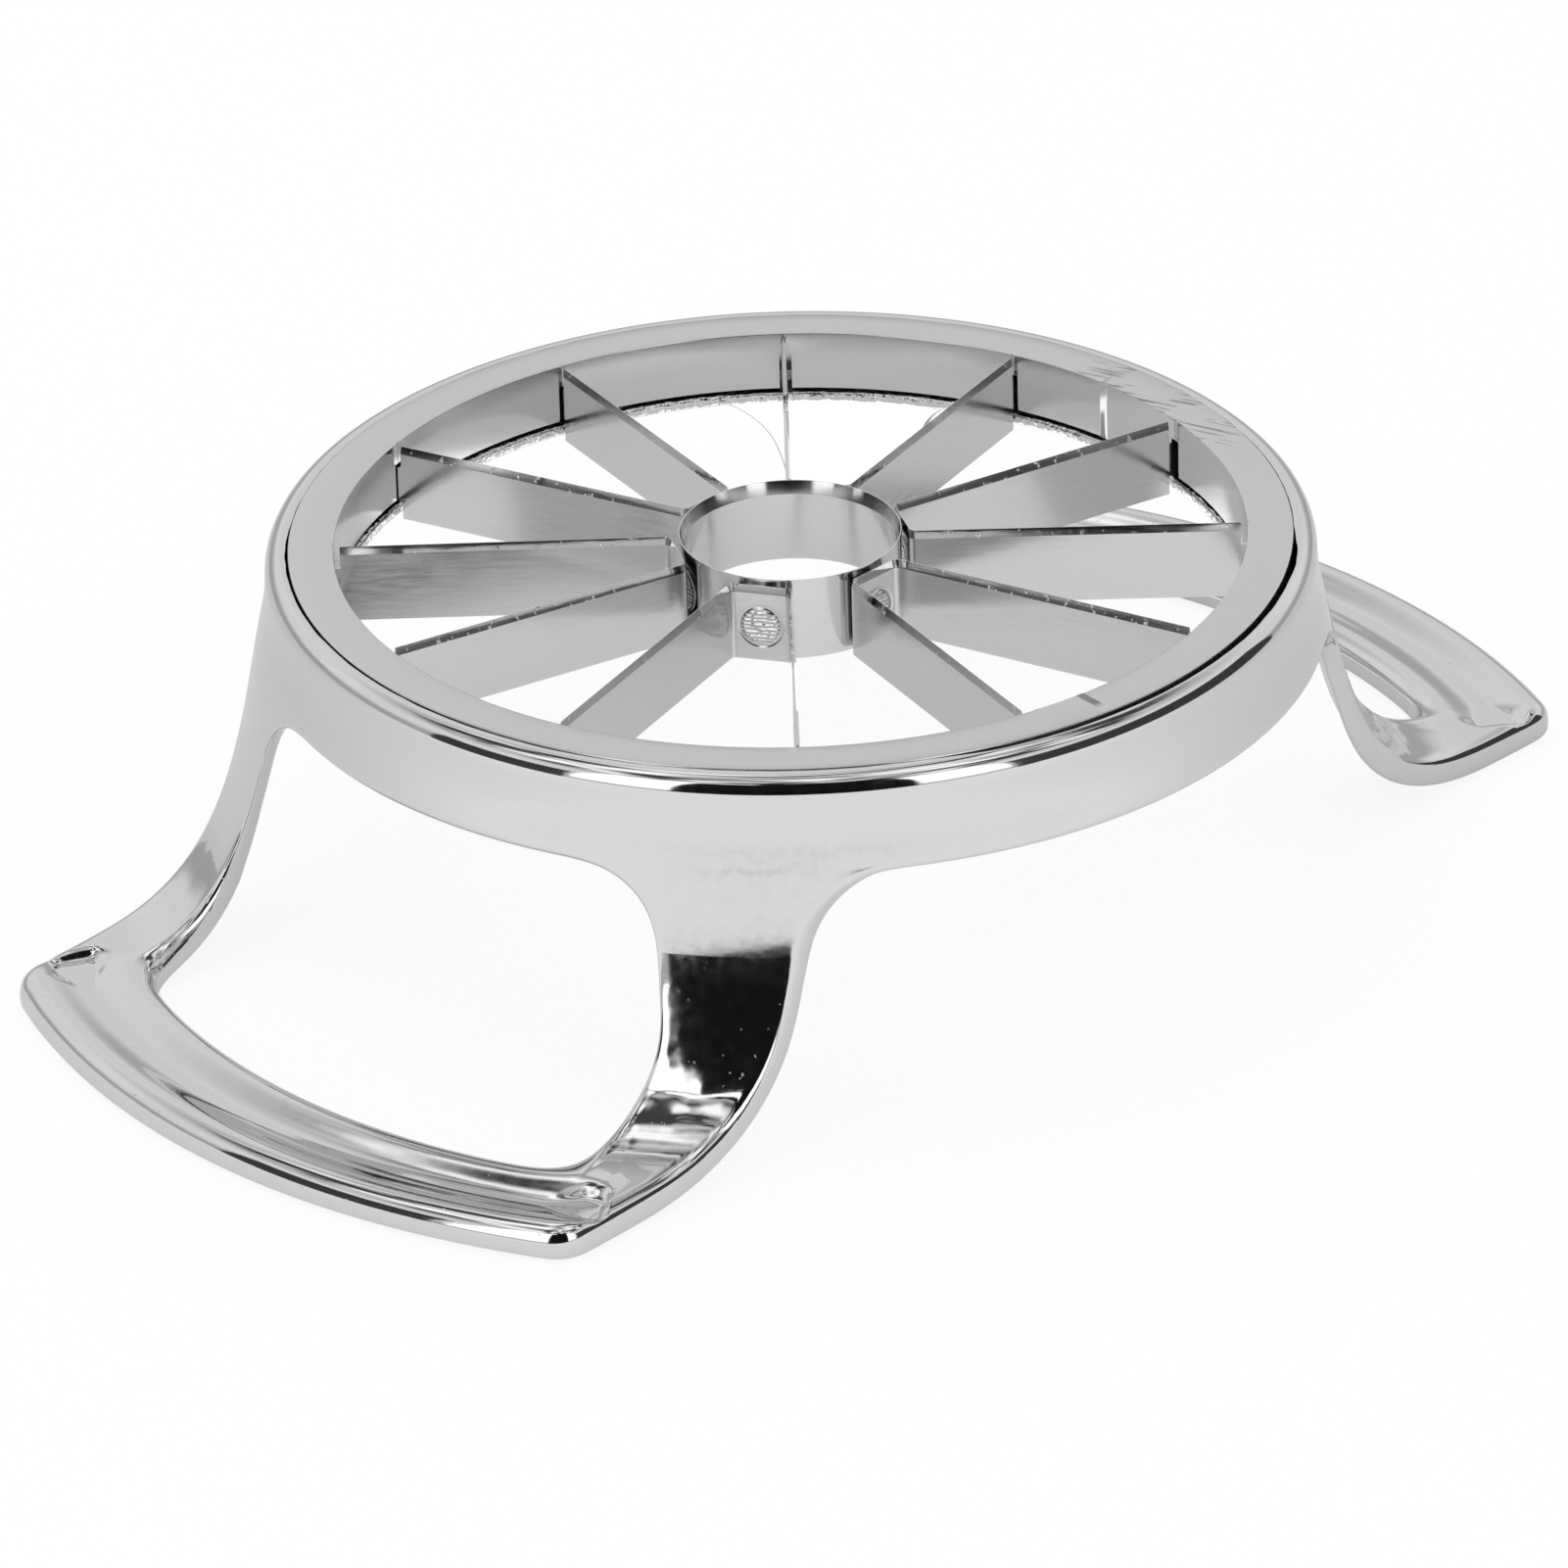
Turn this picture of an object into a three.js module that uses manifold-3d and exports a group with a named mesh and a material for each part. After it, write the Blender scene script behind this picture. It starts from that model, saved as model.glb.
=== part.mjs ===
// Apple slicer with twelve blades, standing upside down on its two loop handles.
//
// Millimetres, +Z up. The origin is on the table under the middle of the ring, and X runs from
// handle to handle. One zinc casting makes the ring and both handles. A channel-shaped ring with
// slots is pressed into it from the cutting side. Six folded steel strips, each with two blades
// and a flat web between them, hook into the slots and are welded to the corer by their webs.

import * as THREE from "three";
import { mergeVertices } from "three/addons/utils/BufferGeometryUtils.js";
import Module from "manifold-3d";

const wasm = await Module();
wasm.setup();

// Whole slicer
const openingRadius = 50; // an apple of up to 100 mm passes the ring
const faceHeight = 41.4; // the flat cutting face above the table
const clearance = 0.3; // between pieces that are pressed, hooked or welded together
const overrun = 1; // how far a cut runs past the piece
const stripCount = 6; // folded strips, two blades each
const bladeHalfAngle = Math.PI / (2 * stripCount); // from the middle of a web to its blades
const insertTurn = THREE.MathUtils.degToRad(-0.6); // pressed in slightly off the handles' axis

// Blade holder: a channel open to the underside, with a slot for each blade
const holderWidth = 5;
const holderDepth = 6.9;
const holderTop = 2.2; // thickness of the flat face
const holderInnerWall = 1.5;
const holderOuterWall = 1.4;
const slotWidth = 1.4;
const slotDrop = 2.5; // from the face down to the top of a slot

// Ring of the casting
const ringDepth = 11.2;
const rimWidth = 2.1;
const rimRound = 0.9; // outer corner of the rim
const lipThickness = 1.4; // free edge of the floor that carries the holder
const lipReach = 0.3; // how far the floor shows inside the holder
const bottomRound = 0.8;

// Loop handles of the casting
const handleReach = 89.7; // axis of the ring to the outer edge of the grip
const handleHalfWidth = 42.3;
const armWidth = 12; // below the ring
const armFootWidth = 8.7; // where it meets the grip
const armThickness = 2.05;
const gripWidth = 13.5;
const gripThickness = 3.9;
const flareStart = 5; // below the face, where the wall begins to sweep outwards
const rootFillet = 10; // between an arm and the lower edge of the ring
const rootSink = 0.5; // how deep the top of an arm is buried in the wall of the ring
const rootOverlap = 2.4; // how far an arm runs up inside the ring
const gripCorner = 5; // inside corner between an arm and the grip
const tipCorner = 3.5; // outside corner at the tip of a handle
const edgeTopRound = 1; // edges of the handle, on the outer face
const gripUnderRun = 2.6; // how far the grip's edges curve in towards the underside
const armUnderRun = 0.8; // and the edges of the arms and tips
const channelDepth = 0.8; // finger channel sunk in the grip
const channelInnerBorder = 2;
const channelOuterBorder = 2.5;
const channelWall = 1; // run of the channel's sloping walls

// Corer
const corerRadius = 12.2; // outside
const corerWall = 0.5;
const corerHeight = 9.5;
const corerRise = 0.3; // its cutting edge above the flat face
const corerBevel = 0.8;
const corerEdge = 0.1; // thickness left at the ground edge

// Blades
const bladeThickness = 0.5;
const bladeHeight = 8.9;
const bladeDrop = 0.2; // cutting edges below the flat face
const bladeBevel = 0.9;
const bladeEdge = 0.12;
const bladeEndGap = 0.7; // between a blade's end and the holder
const bendRadius = 0.8; // middle of the sheet where a blade leaves its web
const tabReach = 3; // a tab's length past the holder's inner face
const tabThickness = 0.4;

// Shares of the sizes they follow
const flareStartShares = [0.21, 0.56]; // of the run and the drop from the wall to the grip
const flareEndShares = [0.24, 1];
const thickeningShare = 0.6; // of the flare, where an arm begins to thicken
const armEndShare = 0.75; // of an arm's width, from the grip's inner edge back to the plain arm
const channelStartShare = 0.4; // of the turn round the tip, over which the channel deepens
const wallShares = [0, 0.3, 0.65, 1]; // down the ring's wall, where its profile has a point

// Facets
const ringSegments = 72;
const corerSegments = 48;
const flareSamples = 240;

// Sizes that follow
const seatRadius = openingRadius + holderWidth + clearance;
const rimRadius = seatRadius + rimWidth;
const floorHeight = faceHeight - holderDepth - clearance;
const ringBottom = faceHeight - ringDepth;
const gripTop = gripThickness;
const gripInnerRadius = handleReach - gripWidth;
const armInnerY = handleHalfWidth - armWidth;
const footInnerY = handleHalfWidth - armFootWidth;
const bladeTop = faceHeight - bladeDrop;
const bladeReach = openingRadius - bladeEndGap;
const slotTop = faceHeight - slotDrop;

const chrome = new THREE.MeshStandardMaterial({ color: 0xc9cbcd, roughness: 0.1, metalness: 1 });
const satinSteel = new THREE.MeshStandardMaterial({ color: 0xbfc1c3, roughness: 0.28, metalness: 1 });
const bladeSteel = new THREE.MeshStandardMaterial({ color: 0xb4b7ba, roughness: 0.22, metalness: 1 });

// Joins a geometry's shared vertices and makes it a solid that can be joined and cut.
function toSolid(geometry) {
  const bare = new THREE.BufferGeometry();
  bare.setAttribute("position", geometry.getAttribute("position"));
  bare.setIndex(geometry.index);
  const merged = mergeVertices(bare);
  const vertProperties = new Float32Array(merged.getAttribute("position").array);
  const triVerts = new Uint32Array(merged.index.array);
  return new wasm.Manifold(new wasm.Mesh({ numProp: 3, vertProperties, triVerts }));
}

function toGeometry(solid) {
  const mesh = solid.getMesh();
  const geometry = new THREE.BufferGeometry();
  geometry.setAttribute("position", new THREE.BufferAttribute(mesh.vertProperties, mesh.numProp));
  geometry.setIndex(new THREE.BufferAttribute(mesh.triVerts, 1));
  geometry.computeVertexNormals();
  return geometry;
}

// Turns a closed profile of [radius, height] points round the Z axis.
function revolve(profile, segments) {
  const points = profile.map(([radius, height]) => new THREE.Vector2(radius, height));
  const geometry = new THREE.LatheGeometry([...points, points[0]], segments);
  return geometry.rotateX(Math.PI / 2);
}

// Skins closed sections of equal point count. Each end is closed by rungs from one long side of
// the section to the other, so a bent section gets a bent end.
function loft(sections) {
  const count = sections[0].length;
  const positions = sections.flat().flatMap((point) => point.toArray());
  const index = [];
  const quad = (a, b, c, d) => index.push(a, b, c, a, c, d);
  for (let j = 0; j + 1 < sections.length; j++) {
    for (let i = 0; i < count; i++) {
      const next = (i + 1) % count;
      quad(j * count + i, j * count + next, (j + 1) * count + next, (j + 1) * count + i);
    }
  }
  const last = (sections.length - 1) * count;
  for (let i = 0; i + 1 < count - 1 - i; i++) {
    const rung = [i, i + 1, count - 2 - i, count - 1 - i];
    quad(rung[0], rung[3], rung[2], rung[1]);
    quad(last + rung[0], last + rung[1], last + rung[2], last + rung[3]);
  }
  const geometry = new THREE.BufferGeometry();
  geometry.setAttribute("position", new THREE.Float32BufferAttribute(positions, 3));
  geometry.setIndex(index.filter((_, k) => !isEmpty(index, k - (k % 3))));
  return geometry;
}

function isEmpty(index, k) {
  return index[k] === index[k + 1] || index[k + 1] === index[k + 2] || index[k] === index[k + 2];
}

// Outer face of the casting in profile: down the wall, out along the flare, across the grip.
function flareProfile() {
  const rim = new THREE.Vector2(rimRadius, faceHeight - rimRound);
  const wall = new THREE.Vector2(rimRadius, faceHeight - flareStart);
  const grip = new THREE.Vector2(gripInnerRadius + channelInnerBorder, gripTop);
  const edge = new THREE.Vector2(handleReach, gripTop);
  const span = grip.clone().sub(wall);
  const [startRun, startDrop] = flareStartShares;
  const [endRun, endDrop] = flareEndShares;
  const first = wall.clone().add(new THREE.Vector2(span.x * startRun, span.y * startDrop));
  const second = wall.clone().add(new THREE.Vector2(span.x * endRun, span.y * endDrop));
  const path = new THREE.CurvePath();
  path.add(new THREE.LineCurve(rim, wall));
  path.add(new THREE.CubicBezierCurve(wall, first, second, grip));
  path.add(new THREE.LineCurve(grip, edge));
  return path;
}

// The profile as evenly spaced samples, with the outward normal and the casting's thickness.
function sampleFlare() {
  const path = flareProfile();
  const [wallLength, gripLength] = path.getCurveLengths();
  const thickening = wallLength + (gripLength - wallLength) * thickeningShare;
  const total = path.getLength();
  const samples = [];
  for (let k = 0; k <= flareSamples; k++) {
    const share = k / flareSamples;
    const { x: radius, y: height } = path.getPointAt(share);
    const tangent = path.getTangentAt(share);
    const ramp = THREE.MathUtils.clamp((share * total - thickening) / (gripLength - thickening), 0, 1);
    const thickness = THREE.MathUtils.lerp(armThickness, gripThickness, ramp);
    samples.push({ radius, height, outX: -tangent.y, outZ: tangent.x, thickness, share });
  }
  return samples;
}

const flare = sampleFlare();

// Finds the place on the profile where one of its values reaches the wanted one.
function flareAt(key, wanted) {
  const rising = flare[flare.length - 1][key] > flare[0][key];
  let k = 1;
  while (k < flare.length - 1 && (rising ? flare[k][key] < wanted : flare[k][key] > wanted)) k++;
  const [low, high] = [flare[k - 1], flare[k]];
  const part = THREE.MathUtils.clamp((wanted - low[key]) / (high[key] - low[key] || 1), 0, 1);
  const mix = {};
  for (const name of Object.keys(low)) mix[name] = THREE.MathUtils.lerp(low[name], high[name], part);
  return mix;
}

// A point of the handle, by its angle round the ring, its place on the profile and its depth
// below the outer face. Depth leaves Y as it is, so the sides of a handle are flat.
function castingPoint(angle, place, depth) {
  const radius = place.radius - place.outX * depth;
  const height = place.height - place.outZ * depth;
  const y = place.radius * Math.sin(angle);
  return new THREE.Vector3(Math.sqrt(radius ** 2 - y ** 2), y, height);
}

// Edge of a handle in plan, from the arm round the corner to the middle of the grip: a straight
// side, a round corner and an arc round the ring.
function handleEdge(halfWidth, reach, corner, startRadius) {
  const centreY = halfWidth - corner;
  const centreX = Math.sqrt((reach - corner) ** 2 - centreY ** 2);
  const turned = Math.atan2(centreY, centreX);
  const start = new THREE.Vector2(Math.sqrt(startRadius ** 2 - halfWidth ** 2), halfWidth);
  return [
    new THREE.LineCurve(start, new THREE.Vector2(centreX, halfWidth)),
    new THREE.EllipseCurve(centreX, centreY, corner, corner, Math.PI / 2, turned, true),
    new THREE.EllipseCurve(0, 0, reach, reach, turned, 0, true),
  ];
}

// Stations of half a handle, from inside the ring to the middle of the grip. Each has its inner
// and outer edge as an angle and a place on the profile.
function handleStations() {
  const stations = [];
  const armEnd = flareAt("radius", gripInnerRadius - armWidth * armEndShare);
  const rootBase = ringBottom + bottomRound;
  const armTop = rootBase - rootFillet;
  const addArm = (height, widening, sink) => {
    const place = flareAt("height", height);
    const narrowing = THREE.MathUtils.smoothstep(-height, -armTop, -armEnd.height);
    const innerY = THREE.MathUtils.lerp(armInnerY, footInnerY, narrowing);
    const inner = Math.asin(innerY / place.radius) - widening / place.radius;
    const outer = Math.asin(handleHalfWidth / place.radius) + widening / place.radius;
    const edges = { inner: [inner, place.share], outer: [outer, place.share] };
    stations.push({ ...edges, sink, underRun: armUnderRun, channel: 0 });
  };
  addArm(ringBottom + rootOverlap, rootFillet, rootSink);
  const filletSteps = 6;
  for (let k = 0; k <= filletSteps; k++) {
    const turn = (Math.PI / 2) * (1 - k / filletSteps);
    const sink = k === 0 ? rootSink : 0;
    addArm(rootBase - rootFillet * (1 - Math.sin(turn)), rootFillet * (1 - Math.cos(turn)), sink);
  }
  const armSteps = 5;
  for (let k = 1; k < armSteps; k++) {
    addArm(THREE.MathUtils.lerp(armTop, armEnd.height, k / armSteps), 0, 0);
  }
  const innerEdge = handleEdge(footInnerY, gripInnerRadius, gripCorner, armEnd.radius);
  const outerEdge = handleEdge(handleHalfWidth, handleReach, tipCorner, armEnd.radius);
  const edgeSteps = [7, 5, 8];
  edgeSteps.forEach((steps, piece) => {
    for (let k = piece === 0 ? 0 : 1; k <= steps; k++) {
      const part = k / steps;
      const inner = placeInPlan(innerEdge[piece].getPoint(part));
      const outer = placeInPlan(outerEdge[piece].getPoint(part));
      const channel = THREE.MathUtils.smoothstep(piece + part, 1, 1 + channelStartShare);
      const turned = THREE.MathUtils.smoothstep(piece + part, 1, 2);
      const underRun = THREE.MathUtils.lerp(armUnderRun, gripUnderRun, turned);
      stations.push({ inner, outer, sink: 0, underRun, channel });
    }
  });
  return stations;
}

function placeInPlan(point) {
  return [Math.atan2(point.y, point.x), flareAt("radius", point.length()).share];
}

// Where the finger channel turns, from the inner edge of the grip outwards: the share of the
// grip's width, and how much of the channel's depth is reached there.
function channelShares() {
  const outerStart = gripWidth - channelOuterBorder;
  const floorStart = channelInnerBorder + channelWall;
  const floorEnd = outerStart - channelWall;
  const places = [channelInnerBorder, floorStart, (floorStart + floorEnd) / 2, floorEnd, outerStart];
  const depthShares = [0, 1, 1, 1, 0];
  return places.map((place, k) => [place / gripWidth, depthShares[k]]);
}

// Closed section of a handle at a station: edges that are barely rounded on the outer face and
// well rounded underneath, and between them the channel and the plain inner face.
function handleSection(station, mirrored) {
  const side = mirrored ? -1 : 1;
  const [innerAngle, innerShare] = station.inner;
  const [outerAngle, outerShare] = station.outer;
  const pointAt = (across, depth) => {
    const angle = THREE.MathUtils.lerp(innerAngle, outerAngle, across) * side;
    const place = flareAt("share", THREE.MathUtils.lerp(innerShare, outerShare, across));
    return castingPoint(angle, place, depth + station.sink);
  };
  const width = pointAt(0, 0).distanceTo(pointAt(1, 0));
  const { thickness } = flareAt("share", (innerShare + outerShare) / 2);
  const edgeTurns = [Math.PI / 6, Math.PI / 3, Math.PI / 2];
  const edge = edgeTurns.map((turn) => {
    const inset = 1 - Math.cos(turn);
    const upper = [(edgeTopRound * inset) / width, edgeTopRound * (1 - Math.sin(turn))];
    const lower = [(station.underRun * inset) / width, (thickness - edgeTopRound) * Math.sin(turn)];
    return [upper, [lower[0], edgeTopRound + lower[1]]];
  });
  const farEdge = edge.map((pair) => pair.map(([across, depth]) => [1 - across, depth])).reverse();
  const underStart = station.underRun / width;
  const places = channelShares();
  const face = places.map(([across, depthShare], k) => {
    const under = THREE.MathUtils.lerp(underStart, 1 - underStart, (k + 1) / (places.length + 1));
    return [[across, channelDepth * depthShare * station.channel], [under, thickness]];
  });
  const columns = [...edge, ...face, ...farEdge];
  const lower = columns.map(([, [across, depth]]) => pointAt(across, depth));
  const upper = columns.map(([[across, depth]]) => pointAt(across, depth));
  return [pointAt(0, edgeTopRound), ...lower, pointAt(1, edgeTopRound), ...upper.reverse()];
}

// One handle: a loop that leaves the ring, sweeps out to the grip and comes back.
function handleLoop() {
  const stations = handleStations();
  const going = stations.map((station) => handleSection(station, false));
  const coming = stations.slice(0, -1).reverse();
  return loft([...going, ...coming.map((station) => handleSection(station, true))]);
}

// The ring alone: rim, wall, floor for the holder and an underside that rises to the free lip.
function castingRing() {
  const wallTop = faceHeight - rimRound;
  const wallBottom = ringBottom + bottomRound;
  const wall = wallShares.map((share) => {
    const place = flareAt("height", THREE.MathUtils.lerp(wallTop, wallBottom, share));
    return [place.radius, place.height];
  });
  const footRadius = wall[wall.length - 1][0];
  const lipRadius = openingRadius - lipReach;
  const rimCorner = rimRound * (1 - Math.SQRT1_2);
  const profile = [
    [lipRadius, floorHeight],
    [lipRadius, floorHeight - lipThickness],
    [footRadius - bottomRound, ringBottom],
    ...wall.reverse(),
    [rimRadius - rimCorner, faceHeight - rimCorner],
    [rimRadius - rimRound, faceHeight],
    [seatRadius, faceHeight],
    [seatRadius, floorHeight],
  ];
  return revolve(profile, ringSegments);
}

function frameCasting() {
  const loop = handleLoop();
  const otherLoop = loop.clone().rotateZ(Math.PI);
  return toGeometry(toSolid(castingRing()).add(toSolid(loop)).add(toSolid(otherLoop)));
}

// Angle of each blade round the ring.
function bladeAngles() {
  const angles = [];
  for (let k = 0; k < 2 * stripCount; k++) angles.push((2 * k + 1) * bladeHalfAngle + insertTurn);
  return angles;
}

// The holder: an upturned channel with its slots open at the bottom.
function bladeHolder() {
  const outer = openingRadius + holderWidth;
  const foot = faceHeight - holderDepth;
  const ceiling = faceHeight - holderTop;
  const profile = [
    [openingRadius, faceHeight],
    [openingRadius, foot],
    [openingRadius + holderInnerWall, foot],
    [openingRadius + holderInnerWall, ceiling],
    [outer - holderOuterWall, ceiling],
    [outer - holderOuterWall, foot],
    [outer, foot],
    [outer, faceHeight],
  ];
  let holder = toSolid(revolve(profile, ringSegments));
  const slotLength = holderInnerWall + 2 * overrun;
  const slotHeight = slotTop - foot + overrun;
  for (const angle of bladeAngles()) {
    const slot = new THREE.BoxGeometry(slotLength, slotWidth, slotHeight);
    slot.translate(openingRadius - overrun + slotLength / 2, 0, slotTop - slotHeight / 2);
    holder = holder.subtract(toSolid(slot.rotateZ(angle)));
  }
  return toGeometry(holder);
}

// The corer: a thin tube, ground from the inside to a cutting edge.
function corer() {
  const top = faceHeight + corerRise;
  const bottom = top - corerHeight;
  const bore = corerRadius - corerWall;
  const profile = [
    [bore, bottom],
    [corerRadius, bottom],
    [corerRadius, top],
    [corerRadius - corerEdge, top],
    [bore, top - corerBevel],
  ];
  return revolve(profile, corerSegments);
}

// Cross-section of a strip where its centre line stands at a point, with its thickness along a
// normal and its cutting edge at the top.
function stripSection(point, normal) {
  const bottom = bladeTop - bladeHeight;
  const shoulder = bladeTop - bladeBevel;
  const outline = [
    [bladeThickness / 2, bottom],
    [-bladeThickness / 2, bottom],
    [-bladeThickness / 2, shoulder],
    [-bladeEdge / 2, bladeTop],
    [bladeEdge / 2, bladeTop],
    [bladeThickness / 2, shoulder],
  ];
  return outline.map(([offset, height]) => {
    return new THREE.Vector3(point.x + normal.x * offset, point.y + normal.y * offset, height);
  });
}

// One folded strip, its web square to the X axis: in along one blade, round a bend, across the
// web, round the other bend and out along the second blade.
function bladeStrip() {
  const webX = corerRadius + clearance + bladeThickness / 2;
  const turn = Math.PI / 2 - bladeHalfAngle;
  const bendX = webX + bendRadius;
  const bendY = webX * Math.tan(bladeHalfAngle) - bendRadius * Math.tan(turn / 2);
  const bendSteps = 4;
  const half = [];
  const bladeNormal = new THREE.Vector2(-Math.sin(bladeHalfAngle), Math.cos(bladeHalfAngle));
  const end = new THREE.Vector2(Math.cos(bladeHalfAngle), Math.sin(bladeHalfAngle));
  half.push([end.multiplyScalar(bladeReach), bladeNormal]);
  for (let k = 0; k <= bendSteps; k++) {
    const angle = bladeHalfAngle + Math.PI / 2 + turn * (k / bendSteps);
    const normal = new THREE.Vector2(Math.cos(angle), Math.sin(angle));
    half.push([new THREE.Vector2(bendX, bendY).addScaledVector(normal, bendRadius), normal]);
  }
  const going = half.map(([point, normal]) => stripSection(point, normal));
  const coming = half.reverse().map(([point, normal]) => {
    return stripSection({ x: point.x, y: -point.y }, { x: normal.x, y: -normal.y });
  });
  let strip = toSolid(loft([...going, ...coming]));
  const tabTop = slotTop - clearance;
  const tabHeight = tabTop - floorHeight - clearance;
  const tabLength = bladeEndGap + tabReach + tabThickness;
  for (const side of [-1, 1]) {
    const tab = new THREE.BoxGeometry(tabLength, tabThickness, tabHeight);
    tab.translate(bladeReach - tabThickness + tabLength / 2, 0, tabTop - tabHeight / 2);
    strip = strip.add(toSolid(tab.rotateZ(side * bladeHalfAngle)));
  }
  return toGeometry(strip);
}

function addPiece(group, name, geometry, material) {
  const mesh = new THREE.Mesh(geometry, material);
  mesh.name = name;
  group.add(mesh);
  return mesh;
}

const slicer = new THREE.Group();
addPiece(slicer, "frame_casting", frameCasting(), chrome);
addPiece(slicer, "blade_holder_ring", bladeHolder(), satinSteel);
addPiece(slicer, "corer_ring", corer(), bladeSteel);
const strip = bladeStrip();
for (let k = 0; k < stripCount; k++) {
  const piece = addPiece(slicer, `blade_strip_${k + 1}`, strip, bladeSteel);
  piece.rotation.z = (2 * k + 1) * 2 * bladeHalfAngle + insertTurn;
}

export default slicer;
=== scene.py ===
# %% [markdown]
# # An apple slicer with twelve blades
# The slicer lies upside down on its two loop handles, so its cutting edges point up. It is nine
# real pieces: a chromed zinc casting that is ring and handles in one, a steel ring that holds the
# blades, a short tube that cuts out the core, and six folded steel strips with two blades each.
# Every piece is made here at its real place, in metres, over the same piece of the CAD frame.
# Numbers are in millimetres where nothing else is said, and MM turns them to metres.

# %% The fixed frame
import math

import bmesh
import bpy
from mathutils import Matrix, Vector, noise
from mathutils.geometry import interpolate_bezier


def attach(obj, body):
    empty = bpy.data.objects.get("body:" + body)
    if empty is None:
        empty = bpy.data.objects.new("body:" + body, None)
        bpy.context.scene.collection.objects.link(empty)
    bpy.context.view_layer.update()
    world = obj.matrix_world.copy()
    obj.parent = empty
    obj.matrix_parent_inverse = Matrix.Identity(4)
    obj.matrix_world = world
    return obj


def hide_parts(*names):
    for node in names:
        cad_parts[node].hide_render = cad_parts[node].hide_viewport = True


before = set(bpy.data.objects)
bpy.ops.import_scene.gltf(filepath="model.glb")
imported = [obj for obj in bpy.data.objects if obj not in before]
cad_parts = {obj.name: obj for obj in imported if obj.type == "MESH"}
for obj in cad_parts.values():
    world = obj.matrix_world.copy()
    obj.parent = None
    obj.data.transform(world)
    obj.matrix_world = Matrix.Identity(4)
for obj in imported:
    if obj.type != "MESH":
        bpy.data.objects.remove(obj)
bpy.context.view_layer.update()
MM = 0.001
print("CAD nodes:", ", ".join(sorted(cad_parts)))

# %% [markdown]
# ## The camera
# Metal shows its surroundings, so the view comes first: every reflection depends on it. The
# photograph was taken from far away with a long lens, a little to the side and from above. A camera
# can be placed by eye, but this one was fitted to the circles of the ring, which also gave the turn
# of a degree and a half about its own axis.

# %% Camera
PHOTO_WIDTH = 1601  # pixels
FOCAL_LENGTH = 11332.9  # in the same pixels
CAMERA_DISTANCE = 1213.84
CAMERA_SIDE = -0.789995  # this angle and the next two are in radians
CAMERA_RISE = 0.490721
CAMERA_ROLL = -0.027282
AIM_ACROSS = -0.681
AIM_UP = -27.473
FACE_HEIGHT = 41.4  # the upper face of the ring

back = Vector((
    math.sin(CAMERA_SIDE) * math.cos(CAMERA_RISE),
    -math.cos(CAMERA_SIDE) * math.cos(CAMERA_RISE),
    math.sin(CAMERA_RISE),
))
level = Vector((math.cos(CAMERA_SIDE), math.sin(CAMERA_SIDE), 0))
across = math.cos(CAMERA_ROLL) * level + math.sin(CAMERA_ROLL) * back.cross(level)
upward = back.cross(across)
aim = Vector((0, 0, FACE_HEIGHT)) + AIM_ACROSS * across + AIM_UP * upward

camera_data = bpy.data.cameras.new("camera")
camera_data.sensor_width = 36
camera_data.lens = camera_data.sensor_width * FOCAL_LENGTH / PHOTO_WIDTH
camera_data.clip_end = 20
camera = bpy.data.objects.new("camera", camera_data)
turn = Matrix((across, upward, back)).transposed().to_4x4()
camera.matrix_world = Matrix.Translation((aim + CAMERA_DISTANCE * back) * MM) @ turn
bpy.context.scene.collection.objects.link(camera)
bpy.context.scene.camera = camera
print("lens", round(camera_data.lens, 1), "mm, camera at", [round(c, 3) for c in camera.location])

# %% [markdown]
# ## The casting
# Ring and handles are one zinc die casting, polished and chrome plated. Chrome shows every dent in
# its mesh, so the shape needs one flowing cage of quads under a Subdivision Surface, and no
# intersecting parts. The outer face is a single surface all over: the wall of the ring sweeps out
# along a flare and turns flat under the fingers. So the flare's profile comes first, as a curve
# that gives radius, height, outward normal and wall thickness at any place along it.

# %% Profile of the flare
RIM_RADIUS = 57.65
RIM_HEIGHT = 40.5
RING_BOTTOM = 30.65
REACH = 89.7  # of the handles, from the ring's axis
GRIP_TOP = 3.9
ARM_THICKNESS = 2.05
THIN_SHARE = 0.45  # of the way to the grip, before the arm gets thicker
CURVE_POINTS = 160

bend = [(RIM_RADIUS, 36.4), (61.77, 18.2), (62.39, GRIP_TOP), (78.2, GRIP_TOP)]
curve = interpolate_bezier(*[Vector((r, z, 0)) for r, z in bend], CURVE_POINTS)
line = [Vector((RIM_RADIUS, RIM_HEIGHT, 0)), *curve, Vector((REACH, GRIP_TOP, 0))]
lengths = [0.0]
for a, b in zip(line, line[1:]):
    lengths.append(lengths[-1] + (b - a).length)
grip_start = lengths[-2]
thick_start = lengths[1] + (grip_start - lengths[1]) * THIN_SHARE


def flare_at(length):
    """Radius, height, normal and wall thickness at a length along the profile."""
    k = 1
    while k < len(line) - 1 and lengths[k] < length:
        k += 1
    part = (length - lengths[k - 1]) / (lengths[k] - lengths[k - 1])
    point = line[k - 1].lerp(line[k], part)
    ahead = (line[min(k + 1, len(line) - 1)] - line[max(k - 2, 0)]).normalized()
    ramp = min(max((length - thick_start) / (grip_start - thick_start), 0), 1)
    thickness = ARM_THICKNESS + (GRIP_TOP - ARM_THICKNESS) * ramp
    return point.x, point.y, -ahead.y, ahead.x, thickness


def length_where(test):
    """The first length along the profile at which a test of radius and height holds."""
    low, high = 0.0, lengths[-1]
    for _ in range(40):
        middle = (low + high) / 2
        low, high = (low, middle) if test(*flare_at(middle)[:2]) else (middle, high)
    return high


def at_height(height):
    return length_where(lambda r, z: z <= height)


def at_radius(radius):
    return length_where(lambda r, z: r >= radius)


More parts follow.
